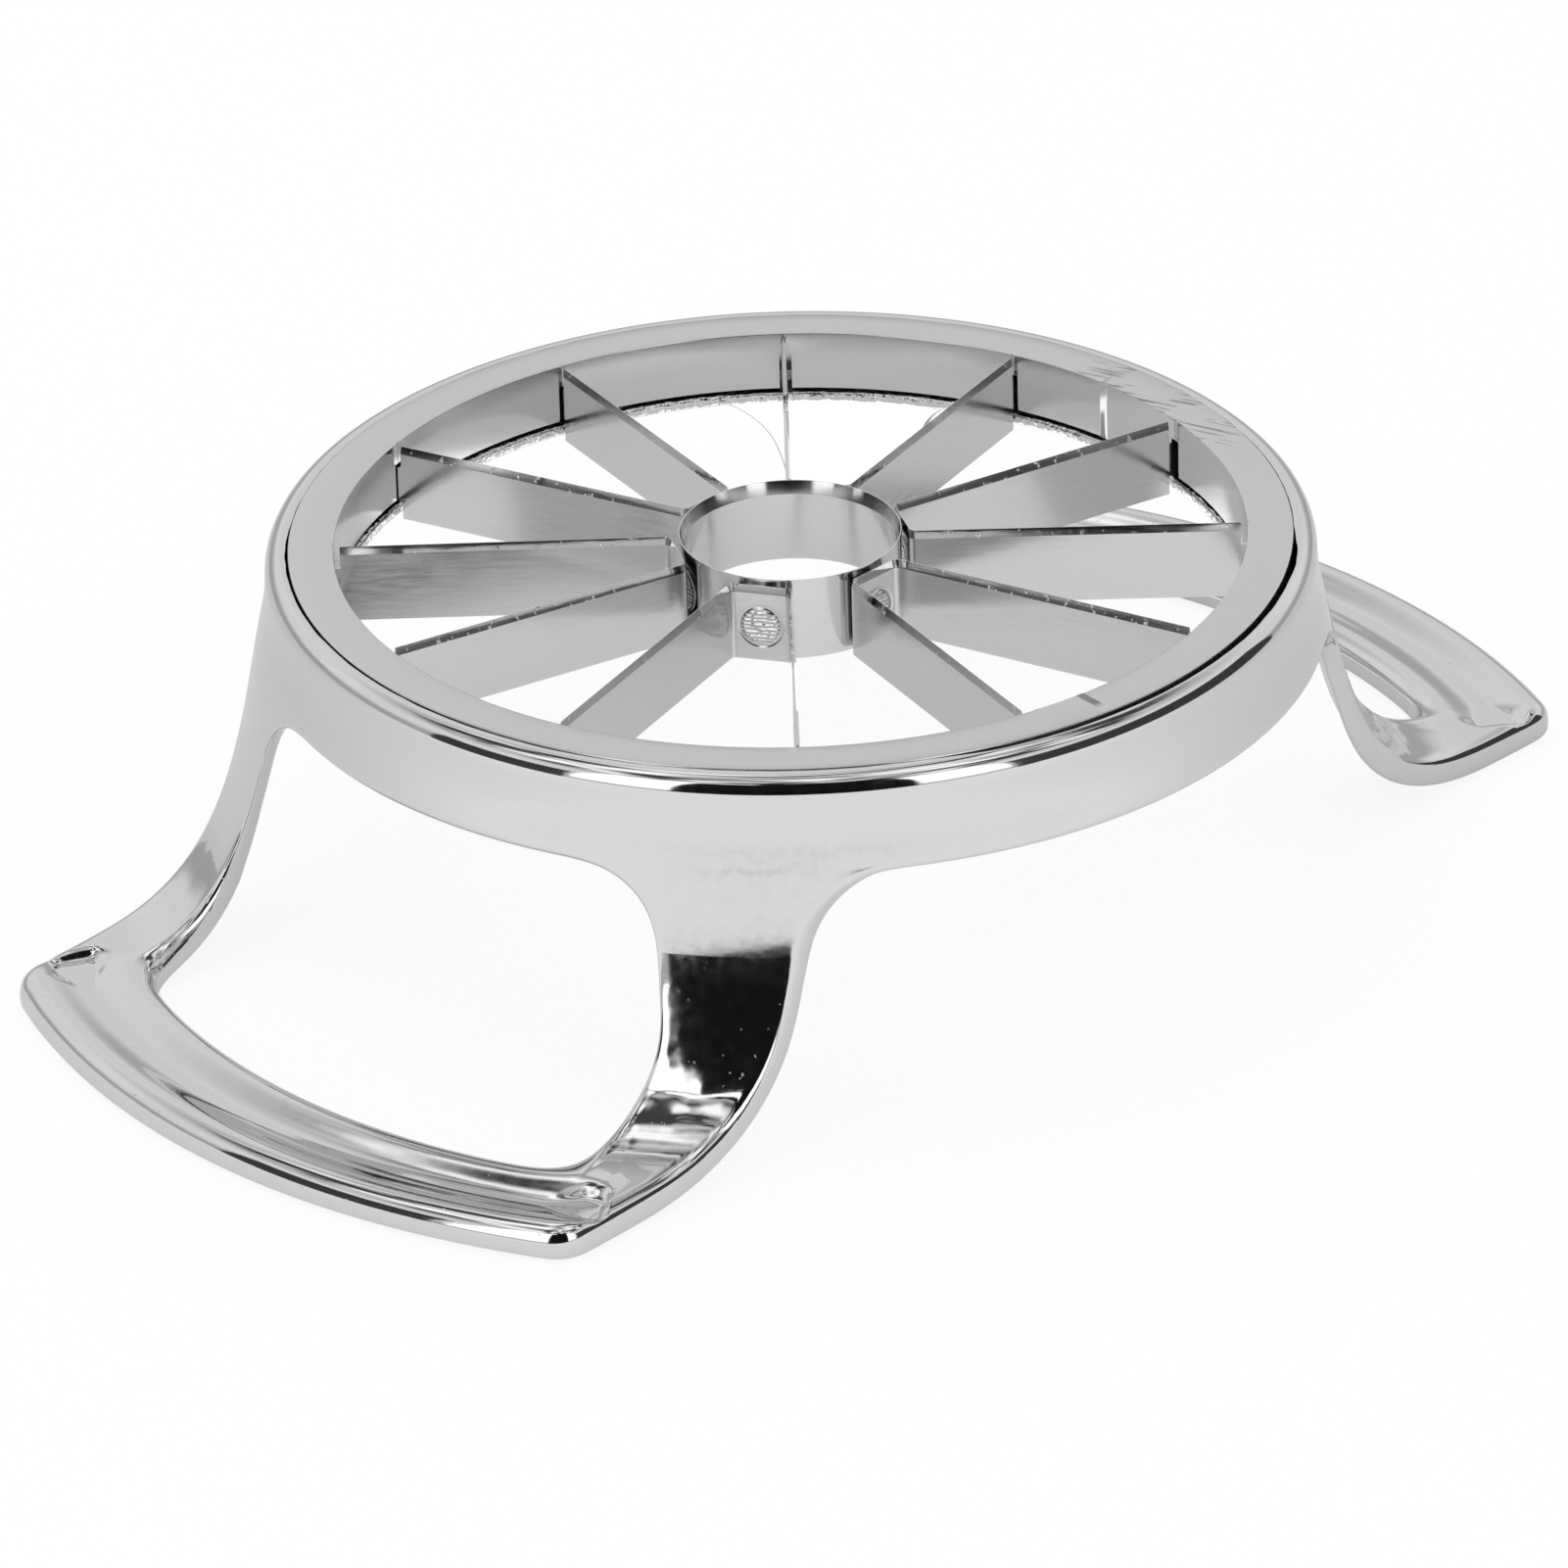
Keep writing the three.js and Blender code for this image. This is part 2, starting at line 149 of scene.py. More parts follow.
wall_foot = flare_at(at_height(RING_BOTTOM))[0]
print("profile", round(lengths[-1], 1), "mm long, wall foot at radius", round(wall_foot, 2))

# %% [markdown]
# A handle is drawn on that surface by its two edges, the inner one round the finger opening and
# the outer one. Under the ring they are round fillets, then straight sides, then the round corner
# of a tip or of the opening, and last an arc about the ring's axis. Working out where such an edge
# lies at any place keeps tips and fillets truly round, which a few points set by eye don't.

# %% Edges of a handle
FILLETS = 10, 8.2  # round off the inner and the outer edge of an arm under the ring
HALF_WIDTH = 42.3
FOOT_HALF_WIDTH = 42.75
INNER_Y = 30.3
FOOT_INNER_Y = 32.4
SPREAD = 24, 10  # the heights between which an arm widens to its foot
TIP_CORNER = 4.3
GRIP_CORNER = 6.2
GRIP_INNER = 76.2


def smooth(value, start, end):
    """An even ramp from 0 at the start to 1 at the end, with soft ends."""
    t = min(max((value - start) / (end - start), 0), 1)
    return t * t * (3 - 2 * t)


def edge_y(height, outer):
    """How far an arm's straight edge lies from the middle of the handle."""
    top, foot = (HALF_WIDTH, FOOT_HALF_WIDTH) if outer else (INNER_Y, FOOT_INNER_Y)
    return top + (foot - top) * smooth(height, *SPREAD)


def fillet_edge(turn, outer, inset):
    """Angle and length of the edge in a fillet, where it has still to turn by this much."""
    fillet = FILLETS[outer]
    length = at_height(RING_BOTTOM - fillet + (fillet + inset) * math.sin(turn))
    radius, height = flare_at(length)[:2]
    widening = (fillet - (fillet + inset) * math.cos(turn)) / radius
    return math.asin(edge_y(height, outer) / radius) + (widening if outer else -widening), length


def ray_edge(angle, half_width, reach, corner):
    """Where a ray from the axis meets the handle's edge: straight side, round corner or arc."""
    centre_y = half_width - corner
    centre_x = math.sqrt((reach - corner) ** 2 - centre_y ** 2)
    if math.tan(angle) > half_width / centre_x:
        return half_width / math.sin(angle)
    if math.tan(angle) > centre_y / centre_x:
        along = centre_x * math.cos(angle) + centre_y * math.sin(angle)
        return along + math.sqrt(along ** 2 - centre_x ** 2 - centre_y ** 2 + corner ** 2)
    return reach


def ray_ends(angle):
    """Lengths along the profile at which a ray meets the inner and the outer edge."""
    return [at_radius(ray_edge(angle, FOOT_INNER_Y, GRIP_INNER, GRIP_CORNER)),
            at_radius(ray_edge(angle, FOOT_HALF_WIDTH, REACH, TIP_CORNER))]


print("an arm is", round(HALF_WIDTH - INNER_Y, 1), "mm wide, the grip", round(REACH - GRIP_INNER, 1))

# %% [markdown]
# A station is a line across the handle from edge to edge. The first stations form the fillets,
# the next ones fan out down the arm, and the last ones point straight away from the ring's axis,
# round the tip and along the grip. They stand close together where an edge bends. The edges get
# rounder from the arms to the grip, as a hand expects.

# %% Stations along half a handle
EDGE_ROUND = 0.6  # edges of the arms, on the outer face
TIP_ROUND = 2.5  # edges of the tips and the grip
FAN_SHARE, RAY_SHARE = 0.8, 0.2  # how the growth between them is divided
FULL_ROUND = 26  # degrees, and at smaller angles the edges are as round as they get
FILLET_STEPS = 5
FAN_STEPS = 8
RAYS = (29.8, 29.3, 28.8, 28.2, 27.6, 27, 26.3, 25.3, 24.2, 22.5, 19, 15, 11, 7, 3.5, 0)

growth = TIP_ROUND - EDGE_ROUND
stations = [{"turn": math.radians(90 - 90 / FILLET_STEPS * k), "round": EDGE_ROUND}
            for k in range(1, FILLET_STEPS + 1)]
fan_starts = [at_height(RING_BOTTOM - fillet) for fillet in FILLETS]
fan_ends = ray_ends(math.radians(RAYS[0]))
for k in range(1, FAN_STEPS):
    station = {"round": EDGE_ROUND + growth * FAN_SHARE * (k / FAN_STEPS) ** 2}
    for outer, (start, end) in enumerate(zip(fan_starts, fan_ends)):
        length = start + (end - start) * k / FAN_STEPS
        radius, height = flare_at(length)[:2]
        station["outer" if outer else "inner"] = math.asin(edge_y(height, outer) / radius), length
    stations.append(station)
for degrees in RAYS:
    angle = math.radians(degrees)
    inner_length, outer_length = ray_ends(angle)
    stations.append({
        "inner": (angle, inner_length),
        "outer": (angle, outer_length),
        "round": TIP_ROUND - growth * RAY_SHARE * smooth(degrees, FULL_ROUND, RAYS[0]),
    })
print(len(stations), "stations from the ring to the middle of the grip")

# %% [markdown]
# Where a station crosses an edge at a slant, an inset measured along it would come out too narrow
# on the surface. So each straight station gets its width and, for either edge, how much its
# insets have to stretch.

# %% Width and slant of the stations
LEAST_SINE = 0.45  # of the angle between a station and an edge, past which nothing is stretched more


def side_point(angle, length, depth):
    """A point under the outer face. Depth leaves Y alone, so the sides of a handle are flat."""
    radius, height, out_x, out_z, _ = flare_at(length)
    y = radius * math.sin(angle)
    radius -= out_x * depth
    return Vector((math.sqrt(radius ** 2 - y ** 2), y, height - out_z * depth))


def station_end(station, outer):
    """Angle and length of the point where a station meets an edge."""
    if "turn" in station:
        return fillet_edge(station["turn"], outer, 0)
    return station["outer" if outer else "inner"]


rim = [[side_point(*station_end(station, outer), 0) for outer in (0, 1)] for station in stations]
for k, station in enumerate(stations):
    if "turn" not in station:
        before, after = rim[k - 1], rim[min(k + 1, len(rim) - 1)]
        crossing = rim[k][1] - rim[k][0]
        station["width"] = crossing.length
        sines = [math.sin(crossing.angle(after[outer] - before[outer])) for outer in (0, 1)]
        station["slant"] = [1 / max(sine, LEAST_SINE) for sine in sines]
print("stations are", round(min(s.get("width", 99) for s in stations), 1), "mm wide or more")

# %% [markdown]
# Each station is a closed loop of points: columns across the outer face, four rows round each
# edge, and the same columns across the underside. Rows that stand close together hold the edge
# tight under the subdivision. The underside's edge is drawn in further below the grip.

# %% Sections of a handle
COLUMNS = 10
ROWS = 6
UNDER_RUN = 0.8  # how far the underside's edge is drawn in on the arms
GRIP_UNDER_RUN = 1.8  # and how much further below the grip
UNDER_TURN = 29, 23  # the angles in degrees between which that grows


def edge_rows(rounding, thickness, under_run):
    """Insets and depths of the rows from the outer face round an edge to the underside."""
    return [(1.35 * rounding, 0), (0.5 * rounding, 0.03 * rounding), (0, 0.5 * rounding),
            (0, 1.35 * rounding), (0.1 * under_run, thickness - 0.35), (under_run, thickness)]


def station_edge(station, outer, inset):
    """Angle and length of a point on a station, this far in from an edge."""
    if "turn" in station:
        return fillet_edge(station["turn"], outer, inset)
    start, end = [station["inner"], station["outer"]][:: -1 if outer else 1]
    share = inset * station["slant"][outer] / station["width"]
    return start[0] + (end[0] - start[0]) * share, start[1] + (end[1] - start[1]) * share


def column_places(station, inset):
    """Angle and length of each column across a station, between its two inset edges."""
    start, end = [station_edge(station, outer, inset) for outer in (0, 1)]
    return [[start[i] + (end[i] - start[i]) * column / COLUMNS for i in (0, 1)]
            for column in range(COLUMNS + 1)]


def section_points(station):
    """{(row, column): point}: row 0 is the outer face, the last row the underside."""
    middle_angle = sum(station_edge(station, outer, 0)[0] for outer in (0, 1)) / 2
    under_run = UNDER_RUN + GRIP_UNDER_RUN * smooth(math.degrees(middle_angle), *UNDER_TURN)
    points = {}
    for row in range(ROWS):
        inset = edge_rows(station["round"], ARM_THICKNESS, under_run)[row][0]
        for column, (angle, length) in enumerate(column_places(station, inset)):
            depth = edge_rows(station["round"], flare_at(length)[4], under_run)[row][1]
            points[row, column] = side_point(angle, length, depth) * MM
    return points


sections = [section_points(station) for station in stations]
grip_width = (sections[-1][2, COLUMNS] - sections[-1][2, 0]).length / MM
print("a section has", 2 * (COLUMNS + ROWS - 1), "points, the grip is",
      round(grip_width, 1), "mm wide")

# %% [markdown]
# The cage starts as the ring's profile, a few corners with two support points on either side so
# that the subdivision keeps them tight. It is spun through a quarter turn, in three parts, so that
# the middle part has the handle's columns.

# %% Quarter of the ring
SUPPORTS = 2.4, 0.7  # distances of the support points from a corner, in its own radius
STEPS_BEFORE, STEPS_AFTER = 5, 8  # of the spin, on either side of the handle's columns


def supported(corners):
    """Replaces each corner (radius, height, rounding) that is rounded by four points."""
    points = []
    for k, (r, z, rounding) in enumerate(corners):
        if not rounding:
            points.append((r, z))
            continue
        here = Vector((r, z))
        after = corners[(k + 1) % len(corners)]
        for other, order in ((corners[k - 1], SUPPORTS), (after, SUPPORTS[::-1])):
            step = (Vector(other[:2]) - here).normalized() * rounding
            points += [tuple(here + step * factor) for factor in order]
    return points


wall_rows = [side_point(0, fillet_edge(math.pi / 2, 1, inset)[1], depth)
             for inset, depth in edge_rows(EDGE_ROUND, ARM_THICKNESS, 0.4)]
ring_corners = [
    (49.7, 34.0, 0), (49.9, 34.2, 0), (55.4, 34.2, 0), (55.4, 41.3, 0.1),  # lip and seat
    (56.15, 41.3, 0), (57, 40.85, 0), (57.45, 40.15, 0), (RIM_RADIUS, 39.3, 0), (RIM_RADIUS, 38, 0),
    *[(flare_at(at_height(z))[0], z, 0) for z in (35.5, 33.2)],  # wall
    *[(row.x, row.z, 0) for row in wall_rows],
    (53, 31.75, 0), (50, 32.75, 0), (49.7, 33.05, 0),  # underside
]
profile = supported(ring_corners)
wall_radius = wall_rows[0].x
arm_start = math.asin(INNER_Y / wall_radius) - FILLETS[0] / wall_radius
arm_end = math.asin(HALF_WIDTH / wall_radius) + FILLETS[1] / wall_radius

casting_mesh = bmesh.new()
start = [casting_mesh.verts.new((r * MM, 0, z * MM)) for r, z in profile]
edges = [casting_mesh.edges.new((start[k - 1], start[k])) for k in range(len(start))]
geom = start + edges
sweeps = [(arm_start, STEPS_BEFORE), (arm_end - arm_start, COLUMNS),
          (math.pi / 2 - arm_end, STEPS_AFTER)]
for sweep, steps in sweeps:
    geom = bmesh.ops.spin(casting_mesh, geom=geom, cent=(0, 0, 0), axis=(0, 0, 1), dvec=(0, 0, 0),
                          angle=sweep, steps=steps, use_duplicate=False)["geom_last"]
print("quarter ring:", len(casting_mesh.faces), "faces, last angle",
      round(math.degrees(math.atan2(geom[0].co.y, geom[0].co.x)), 2))

# %% [markdown]
# The handle could be bridged to the ring, but then the seam would show in the chrome. It grows out
# of the ring instead: the faces below the middle part are extruded from station to station, and
# the last ones are taken off again, because the middle of the grip lies on the mirror plane.

# %% Half a handle
TOUCH = 0.01  # points that lie closer to each other are taken for the same


def key(point):
    """A point as whole numbers, so that it can be looked up."""
    return tuple(round(c * 1e7) for c in point)


def cap_faces(section):
    """The faces that close the end of the handle so far."""
    members = set(section.values())
    return [face for face in casting_mesh.faces if all(vert in members for vert in face.verts)]


section = {}  # {(row, column): vertex} at the end of the handle
for vert in casting_mesh.verts:
    turned = math.atan2(vert.co.y, vert.co.x) - arm_start
    column = turned / (arm_end - arm_start) * COLUMNS
    radius = math.hypot(vert.co.x, vert.co.y) / MM
    for row, target in enumerate(wall_rows):
        away = math.hypot(radius - target.x, vert.co.z / MM - target.z)
        if -TOUCH < column < COLUMNS + TOUCH and away < TOUCH:
            section[row, round(column)] = vert
for points in sections:
    cap = cap_faces(section)
    old = {key(vert.co): label for label, vert in section.items()}
    made = bmesh.ops.extrude_face_region(casting_mesh, geom=cap)["geom"]
    bmesh.ops.delete(casting_mesh, geom=cap, context="FACES")
    section = {old[key(v.co)]: v for v in made if isinstance(v, bmesh.types.BMVert)}
    for label, vert in section.items():
        vert.co = points[label]
bmesh.ops.delete(casting_mesh, geom=cap_faces(section), context="FACES")
print("quarter with half a handle:", len(casting_mesh.faces), "faces")

# %% [markdown]
# Points on the two mirror planes are first set exactly on them, so that the halves meet without a
# crack. Then the quarter is mirrored twice.

# %% The whole cage
SAME_PLACE = 1e-6  # metres, points that are closer are one

for vert in casting_mesh.verts:
    if abs(vert.co.x) < SAME_PLACE:
        vert.co.x = 0
    if abs(vert.co.y) < SAME_PLACE:
        vert.co.y = 0
for axis in ("Y", "X"):
    everything = casting_mesh.verts[:] + casting_mesh.edges[:] + casting_mesh.faces[:]
    bmesh.ops.mirror(casting_mesh, geom=everything, matrix=Matrix.Identity(4), axis=axis,
                     merge_dist=SAME_PLACE)
bmesh.ops.remove_doubles(casting_mesh, verts=casting_mesh.verts[:], dist=SAME_PLACE)
bmesh.ops.recalc_face_normals(casting_mesh, faces=casting_mesh.faces[:])
open_edges = sum(1 for edge in casting_mesh.edges if not edge.is_manifold)
print("cage:", len(casting_mesh.faces), "faces,", open_edges, "open edges")

# %% [markdown]
# Every piece becomes an object in the same way: smooth shaded, riding on the slicer's one body and
# standing for its CAD node. The cage gets its Subdivision Surface, which is then made part of the
# mesh, because the next two steps move the fine points that it makes.

# %% The casting as a piece
def add_piece(mesh, name, node):
    """Turns a bmesh into a smooth piece that rides on the slicer and stands for a CAD node."""
    data = bpy.data.meshes.new(name)
    mesh.to_mesh(data)
    mesh.free()
    for face in data.polygons:
        face.use_smooth = True
    piece = bpy.data.objects.new(name, data)
    bpy.context.scene.collection.objects.link(piece)
    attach(piece, "root")
    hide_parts(node)
    return piece


def bake(piece):
    """Replaces a piece's mesh by what its modifiers make of it."""
    view = bpy.context.evaluated_depsgraph_get()
    data = bpy.data.meshes.new_from_object(piece.evaluated_get(view))
    piece.modifiers.clear()
    piece.data = data


casting = add_piece(casting_mesh, "casting", "frame_casting")
subdivision = casting.modifiers.new("smooth", "SUBSURF")
subdivision.levels = subdivision.render_levels = 2
bake(casting)
print("casting:", len(casting.data.polygons), "faces")

# %% [markdown]
# The holder is pressed into the ring. At the front and at the back it sits tight against its seat,
# and on two stretches a dark gap shows. So the seat's wall is moved after the subdivision, in to
# the holder or out from it, and made a little uneven, as a cast edge is.

# %% Seat of the holder
CAST_SEAT = 55.4  # radius of the seat's wall so far
SEAT_RADIUS = 55.09
SEAT_FLOOR = 34
SEAT_FROM = 55.2  # only points outside this radius move
SEAT_RIM = 56.15  # the rim's top follows the wall up to this radius, less and less
FOLLOW_WIDTH = 0.75
UNEVEN = 0.08
SEAT_GAPS = [(-84, 33, 0.66), (168, 36, 0.2)]  # middle and half width in degrees, extra gap
GAP_SOFTNESS = 5  # degrees on either side of a gap's end

for vert in casting.data.vertices:
    radius = math.hypot(vert.co.x, vert.co.y)
    if SEAT_FROM * MM < radius < SEAT_RIM * MM and vert.co.z > SEAT_FLOOR * MM:
        azimuth = math.degrees(math.atan2(vert.co.y, vert.co.x))
        wall = SEAT_RADIUS + UNEVEN * noise.noise(vert.co / (2 * MM))
        for middle, half, gap in SEAT_GAPS:
            off = abs((azimuth - middle + 180) % 360 - 180)
            wall += gap * (1 - smooth(off, half - GAP_SOFTNESS, half + GAP_SOFTNESS))
        pull = min((SEAT_RIM - radius / MM) / FOLLOW_WIDTH, 1)
        vert.co.xy *= 1 + (wall - CAST_SEAT) * pull * MM / radius

# The seat's faces get a second material, a dark one that paints the shade in the gap beside the
# holder.
PAINTED_SHADE_RADII = 54.3, 55.95  # the faces in here are in the seat, and get the second material
PAINTED_SHADE_HEIGHTS = 33.9, 41.2
painted_shade_faces = 0
for face in casting.data.polygons:
    corners = [casting.data.vertices[i].co / MM for i in face.vertices]
    if all(PAINTED_SHADE_RADII[0] < math.hypot(c.x, c.y) < PAINTED_SHADE_RADII[1]
           and PAINTED_SHADE_HEIGHTS[0] < c.z < PAINTED_SHADE_HEIGHTS[1] for c in corners):
        face.material_index = 1
        painted_shade_faces += 1
print("seat moved, open on", len(SEAT_GAPS), "stretches,", painted_shade_faces, "faces left bare")

# %% [markdown]
# The finger channel is a shallow trough that follows the grip, with soft sides and steep round
# ends. The grip's top is flat and finely divided by now, so the trough is simply pressed into the
# finished mesh: every point of the top sinks by how far it lies inside the trough's outline.

# %% Finger channel
CHANNEL_DEPTH = 1.1
CHANNEL_RADII = (77.4, 88.0)
CHANNEL_END = math.radians(30)
CHANNEL_ROUND = 4  # round corners of its outline
SIDE_WIDTH = 5  # of the slope along its sides
END_WIDTH = 0.85  # and at its ends
END_BLEND = 3  # on either side of a corner, where one slope passes into the other
TOP_HEIGHTS = 3.2, 4.2  # only points between these heights sink
TOP_RADIUS = 76  # and outside this radius


def channel_share(point):
    """The share of the channel's depth that is reached at a point."""
    middle, half = sum(CHANNEL_RADII) / 2, (CHANNEL_RADII[1] - CHANNEL_RADII[0]) / 2
    along = (abs(math.atan2(point.y, abs(point.x))) - CHANNEL_END) * middle + CHANNEL_ROUND
    off = abs(math.hypot(point.x, point.y) / MM - middle) - half + CHANNEL_ROUND
    inside = CHANNEL_ROUND - math.hypot(max(along, 0), max(off, 0)) - min(max(along, off), 0)
    width = SIDE_WIDTH + (END_WIDTH - SIDE_WIDTH) * smooth(along - off, -END_BLEND, END_BLEND)
    return smooth(inside, 0, width)


for vert in casting.data.vertices:
    on_top = TOP_HEIGHTS[0] * MM < vert.co.z < TOP_HEIGHTS[1] * MM
    if on_top and math.hypot(vert.co.x, vert.co.y) > TOP_RADIUS * MM:
        vert.co.z -= CHANNEL_DEPTH * MM * channel_share(vert.co)
triangles = sum(len(face.vertices) - 2 for face in casting.data.polygons)
print("channel pressed in, the casting has", triangles, "triangles")

# %% [markdown]
# ## The blade holder
# A steel ring is pressed into the casting. It is a channel that is open below, turned on a lathe,
# so it is one spun outline with bevelled edges. Edges that are sharp on the real piece are kept
# sharp, while the round walls stay smooth.

# %% Blade holder
OPENING_RADIUS = 50
HOLDER_RADIUS = 55
HOLDER_FOOT = 34.5
HOLDER_CEILING = 39.2
HOLDER_WALLS = 51.5, 53.6  # radii between which the channel is open below
ON_CORNER = 1e-7  # metres, how close a point of a ring lies to the corner that was spun


def spun(outline, steps, bevels=()):
    """A ring from a closed outline of (radius, height), with chosen corners of it bevelled."""
    mesh = bmesh.new()
    verts = [mesh.verts.new((r * MM, 0, z * MM)) for r, z in outline]
    edges = [mesh.edges.new((verts[k - 1], verts[k])) for k in range(len(verts))]
    bmesh.ops.spin(mesh, geom=verts + edges, cent=(0, 0, 0), axis=(0, 0, 1), dvec=(0, 0, 0),
                   angle=2 * math.pi, steps=steps, use_merge=True, use_duplicate=False)
    for corner, width in bevels:
        r, z = outline[corner]
        rim = [edge for edge in mesh.edges
               if all(abs(math.hypot(v.co.x, v.co.y) - r * MM) < ON_CORNER
                      and abs(v.co.z - z * MM) < ON_CORNER for v in edge.verts)]
        bmesh.ops.bevel(mesh, geom=rim, offset=width * MM, segments=3, profile=0.5,
                        affect="EDGES", material=-1)
    bmesh.ops.recalc_face_normals(mesh, faces=mesh.faces[:])
    return mesh


def keep_sharp(piece, degrees):
    """Keeps the edges sharp that turn by more than this."""
    mesh = bmesh.new()
    mesh.from_mesh(piece.data)
    for edge in mesh.edges:
        edge.smooth = len(edge.link_faces) == 2 and edge.calc_face_angle(0) < math.radians(degrees)
    mesh.to_mesh(piece.data)
    mesh.free()


inner_wall, outer_wall = HOLDER_WALLS
holder_outline = [
    (OPENING_RADIUS, FACE_HEIGHT), (OPENING_RADIUS, HOLDER_FOOT), (inner_wall, HOLDER_FOOT),
    (inner_wall, HOLDER_CEILING), (outer_wall, HOLDER_CEILING), (outer_wall, HOLDER_FOOT),
    (HOLDER_RADIUS, HOLDER_FOOT), (HOLDER_RADIUS, FACE_HEIGHT),
]
holder_bevels = [(0, 0.1), (1, 0.12), (2, 0.12), (5, 0.12), (6, 0.12), (7, 0.15)]  # corner, width
holder_mesh = spun(holder_outline, 240, holder_bevels)
holder = add_piece(holder_mesh, "blade_holder", "blade_holder_ring")
print("blade holder:", len(holder.data.polygons), "faces before its slots")

# %% [markdown]
# The holder's inner wall has a slot for each blade, and above each slot the punch has left a fine
# upright line. Both are cut by one Boolean, because they cross the wall square and nothing else of
# the ring changes. The blades were set by hand, so each slot is a little off its true angle.

# %% Slots of the holder
INSERT_TURN = math.radians(-0.6)
BLADE_ANGLES = [15 + 30 * k for k in range(12)]
HAND_SET = [-0.7, 0.5, 0.6, 1.0, 0.6, 0.2, 0.1, 0.5, -0.6, 0.1, 0.1, 1.0]  # degrees off true
SLOT_SHARE = 0.6  # of which the slot has this much
SLOT = {"middle": 50.4, "depth": 4, "width": 1.4, "low": 30, "high": 38.9}
PUNCH_LINE = {"middle": 50.05, "depth": 0.4, "width": 0.09, "low": 38, "high": 43}

cutter_mesh = bmesh.new()
for angle, off in zip(BLADE_ANGLES, HAND_SET):
    turned = Matrix.Rotation(math.radians(angle + SLOT_SHARE * off) + INSERT_TURN, 4, "Z")
    for cut in (SLOT, PUNCH_LINE):
        height = cut["high"] - cut["low"]
        size = Matrix.Diagonal((cut["depth"] * MM, cut["width"] * MM, height * MM, 1))
        middle = Vector((cut["middle"], 0, (cut["low"] + cut["high"]) / 2))
        box = turned @ Matrix.Translation(middle * MM) @ size
        bmesh.ops.create_cube(cutter_mesh, size=1, matrix=box)
cutter_data = bpy.data.meshes.new("slot_cutter")
cutter_mesh.to_mesh(cutter_data)
cutter_mesh.free()
cutter = bpy.data.objects.new("slot_cutter", cutter_data)
bpy.context.scene.collection.objects.link(cutter)
slots = holder.modifiers.new("slots", "BOOLEAN")
slots.operation = "DIFFERENCE"
slots.solver = "EXACT"
slots.object = cutter
slots.use_self = True
bake(holder)
bpy.data.objects.remove(cutter)
keep_sharp(holder, 35)
print("blade holder:", len(holder.data.polygons), "faces,", len(BLADE_ANGLES), "slots")

# %% [markdown]
# ## The corer
# The corer is a short piece of thin steel tube. Its upper edge is ground from the inside, which
# leaves a bright sloping band above the bore and a keen edge outside. Like the holder it is round
# all over, so it is spun from its outline.

# %% Corer
CORER_RADIUS = 12.2
CORER_BORE = 11.7
CORER_FOOT = 32.2
CORER_TOP = 41.7

corer_outline = [(CORER_BORE, CORER_FOOT), (CORER_RADIUS, CORER_FOOT), (CORER_RADIUS, CORER_TOP),
                 (12.1, CORER_TOP), (CORER_BORE, 40.2)]
corer_mesh = spun(corer_outline, 160, [(0, 0.1), (1, 0.1)])
corer = add_piece(corer_mesh, "corer", "corer_ring")
keep_sharp(corer, 12)
print("corer:", len(corer.data.polygons), "faces")

# %% [markdown]
# ## The blade strips
# Each strip is cut flat, ground along one edge and folded twice, so it is made that way here. A
# long flat bar is cut across where the bends and the tabs will be, and its upper edge is drawn
# together to the cutting edge. Folding it afterwards keeps streaks and weld on the sheet.

# %% Flat strip
BLADE_TOP = 41.2
BLADE_FOOT = 32.3
GROUND_FROM = 40.3  # the edge is ground from here up
KEENNESS = 0.1  # of the sheet's thickness is left at the cutting edge
BLADE_REACH = 49.3
TAB_LOW = 34.5
TAB_HIGH = 38.6
TAB_LENGTH = 3.6
STRIP_THICKNESS = 0.5
BEND_RADIUS = 0.8
BEND_CUTS = 10
FIRST_STEP = 4  # a blade is cut once more, this far from its bend
HALF_ANGLE = math.radians(15)
BEND_TURN = math.pi / 2 - HALF_ANGLE

web_x = CORER_RADIUS + 0.3 + STRIP_THICKNESS / 2  # the middle of the web lies off the corer
web_half = web_x * math.tan(HALF_ANGLE) - BEND_RADIUS * math.tan(BEND_TURN / 2)
bend_length = BEND_RADIUS * BEND_TURN
bend_centre = Vector((web_x + BEND_RADIUS, web_half))
blade_start = bend_centre + BEND_RADIUS * Vector((-math.sin(HALF_ANGLE), math.cos(HALF_ANGLE)))
strip_half = web_half + bend_length + BLADE_REACH - blade_start.length


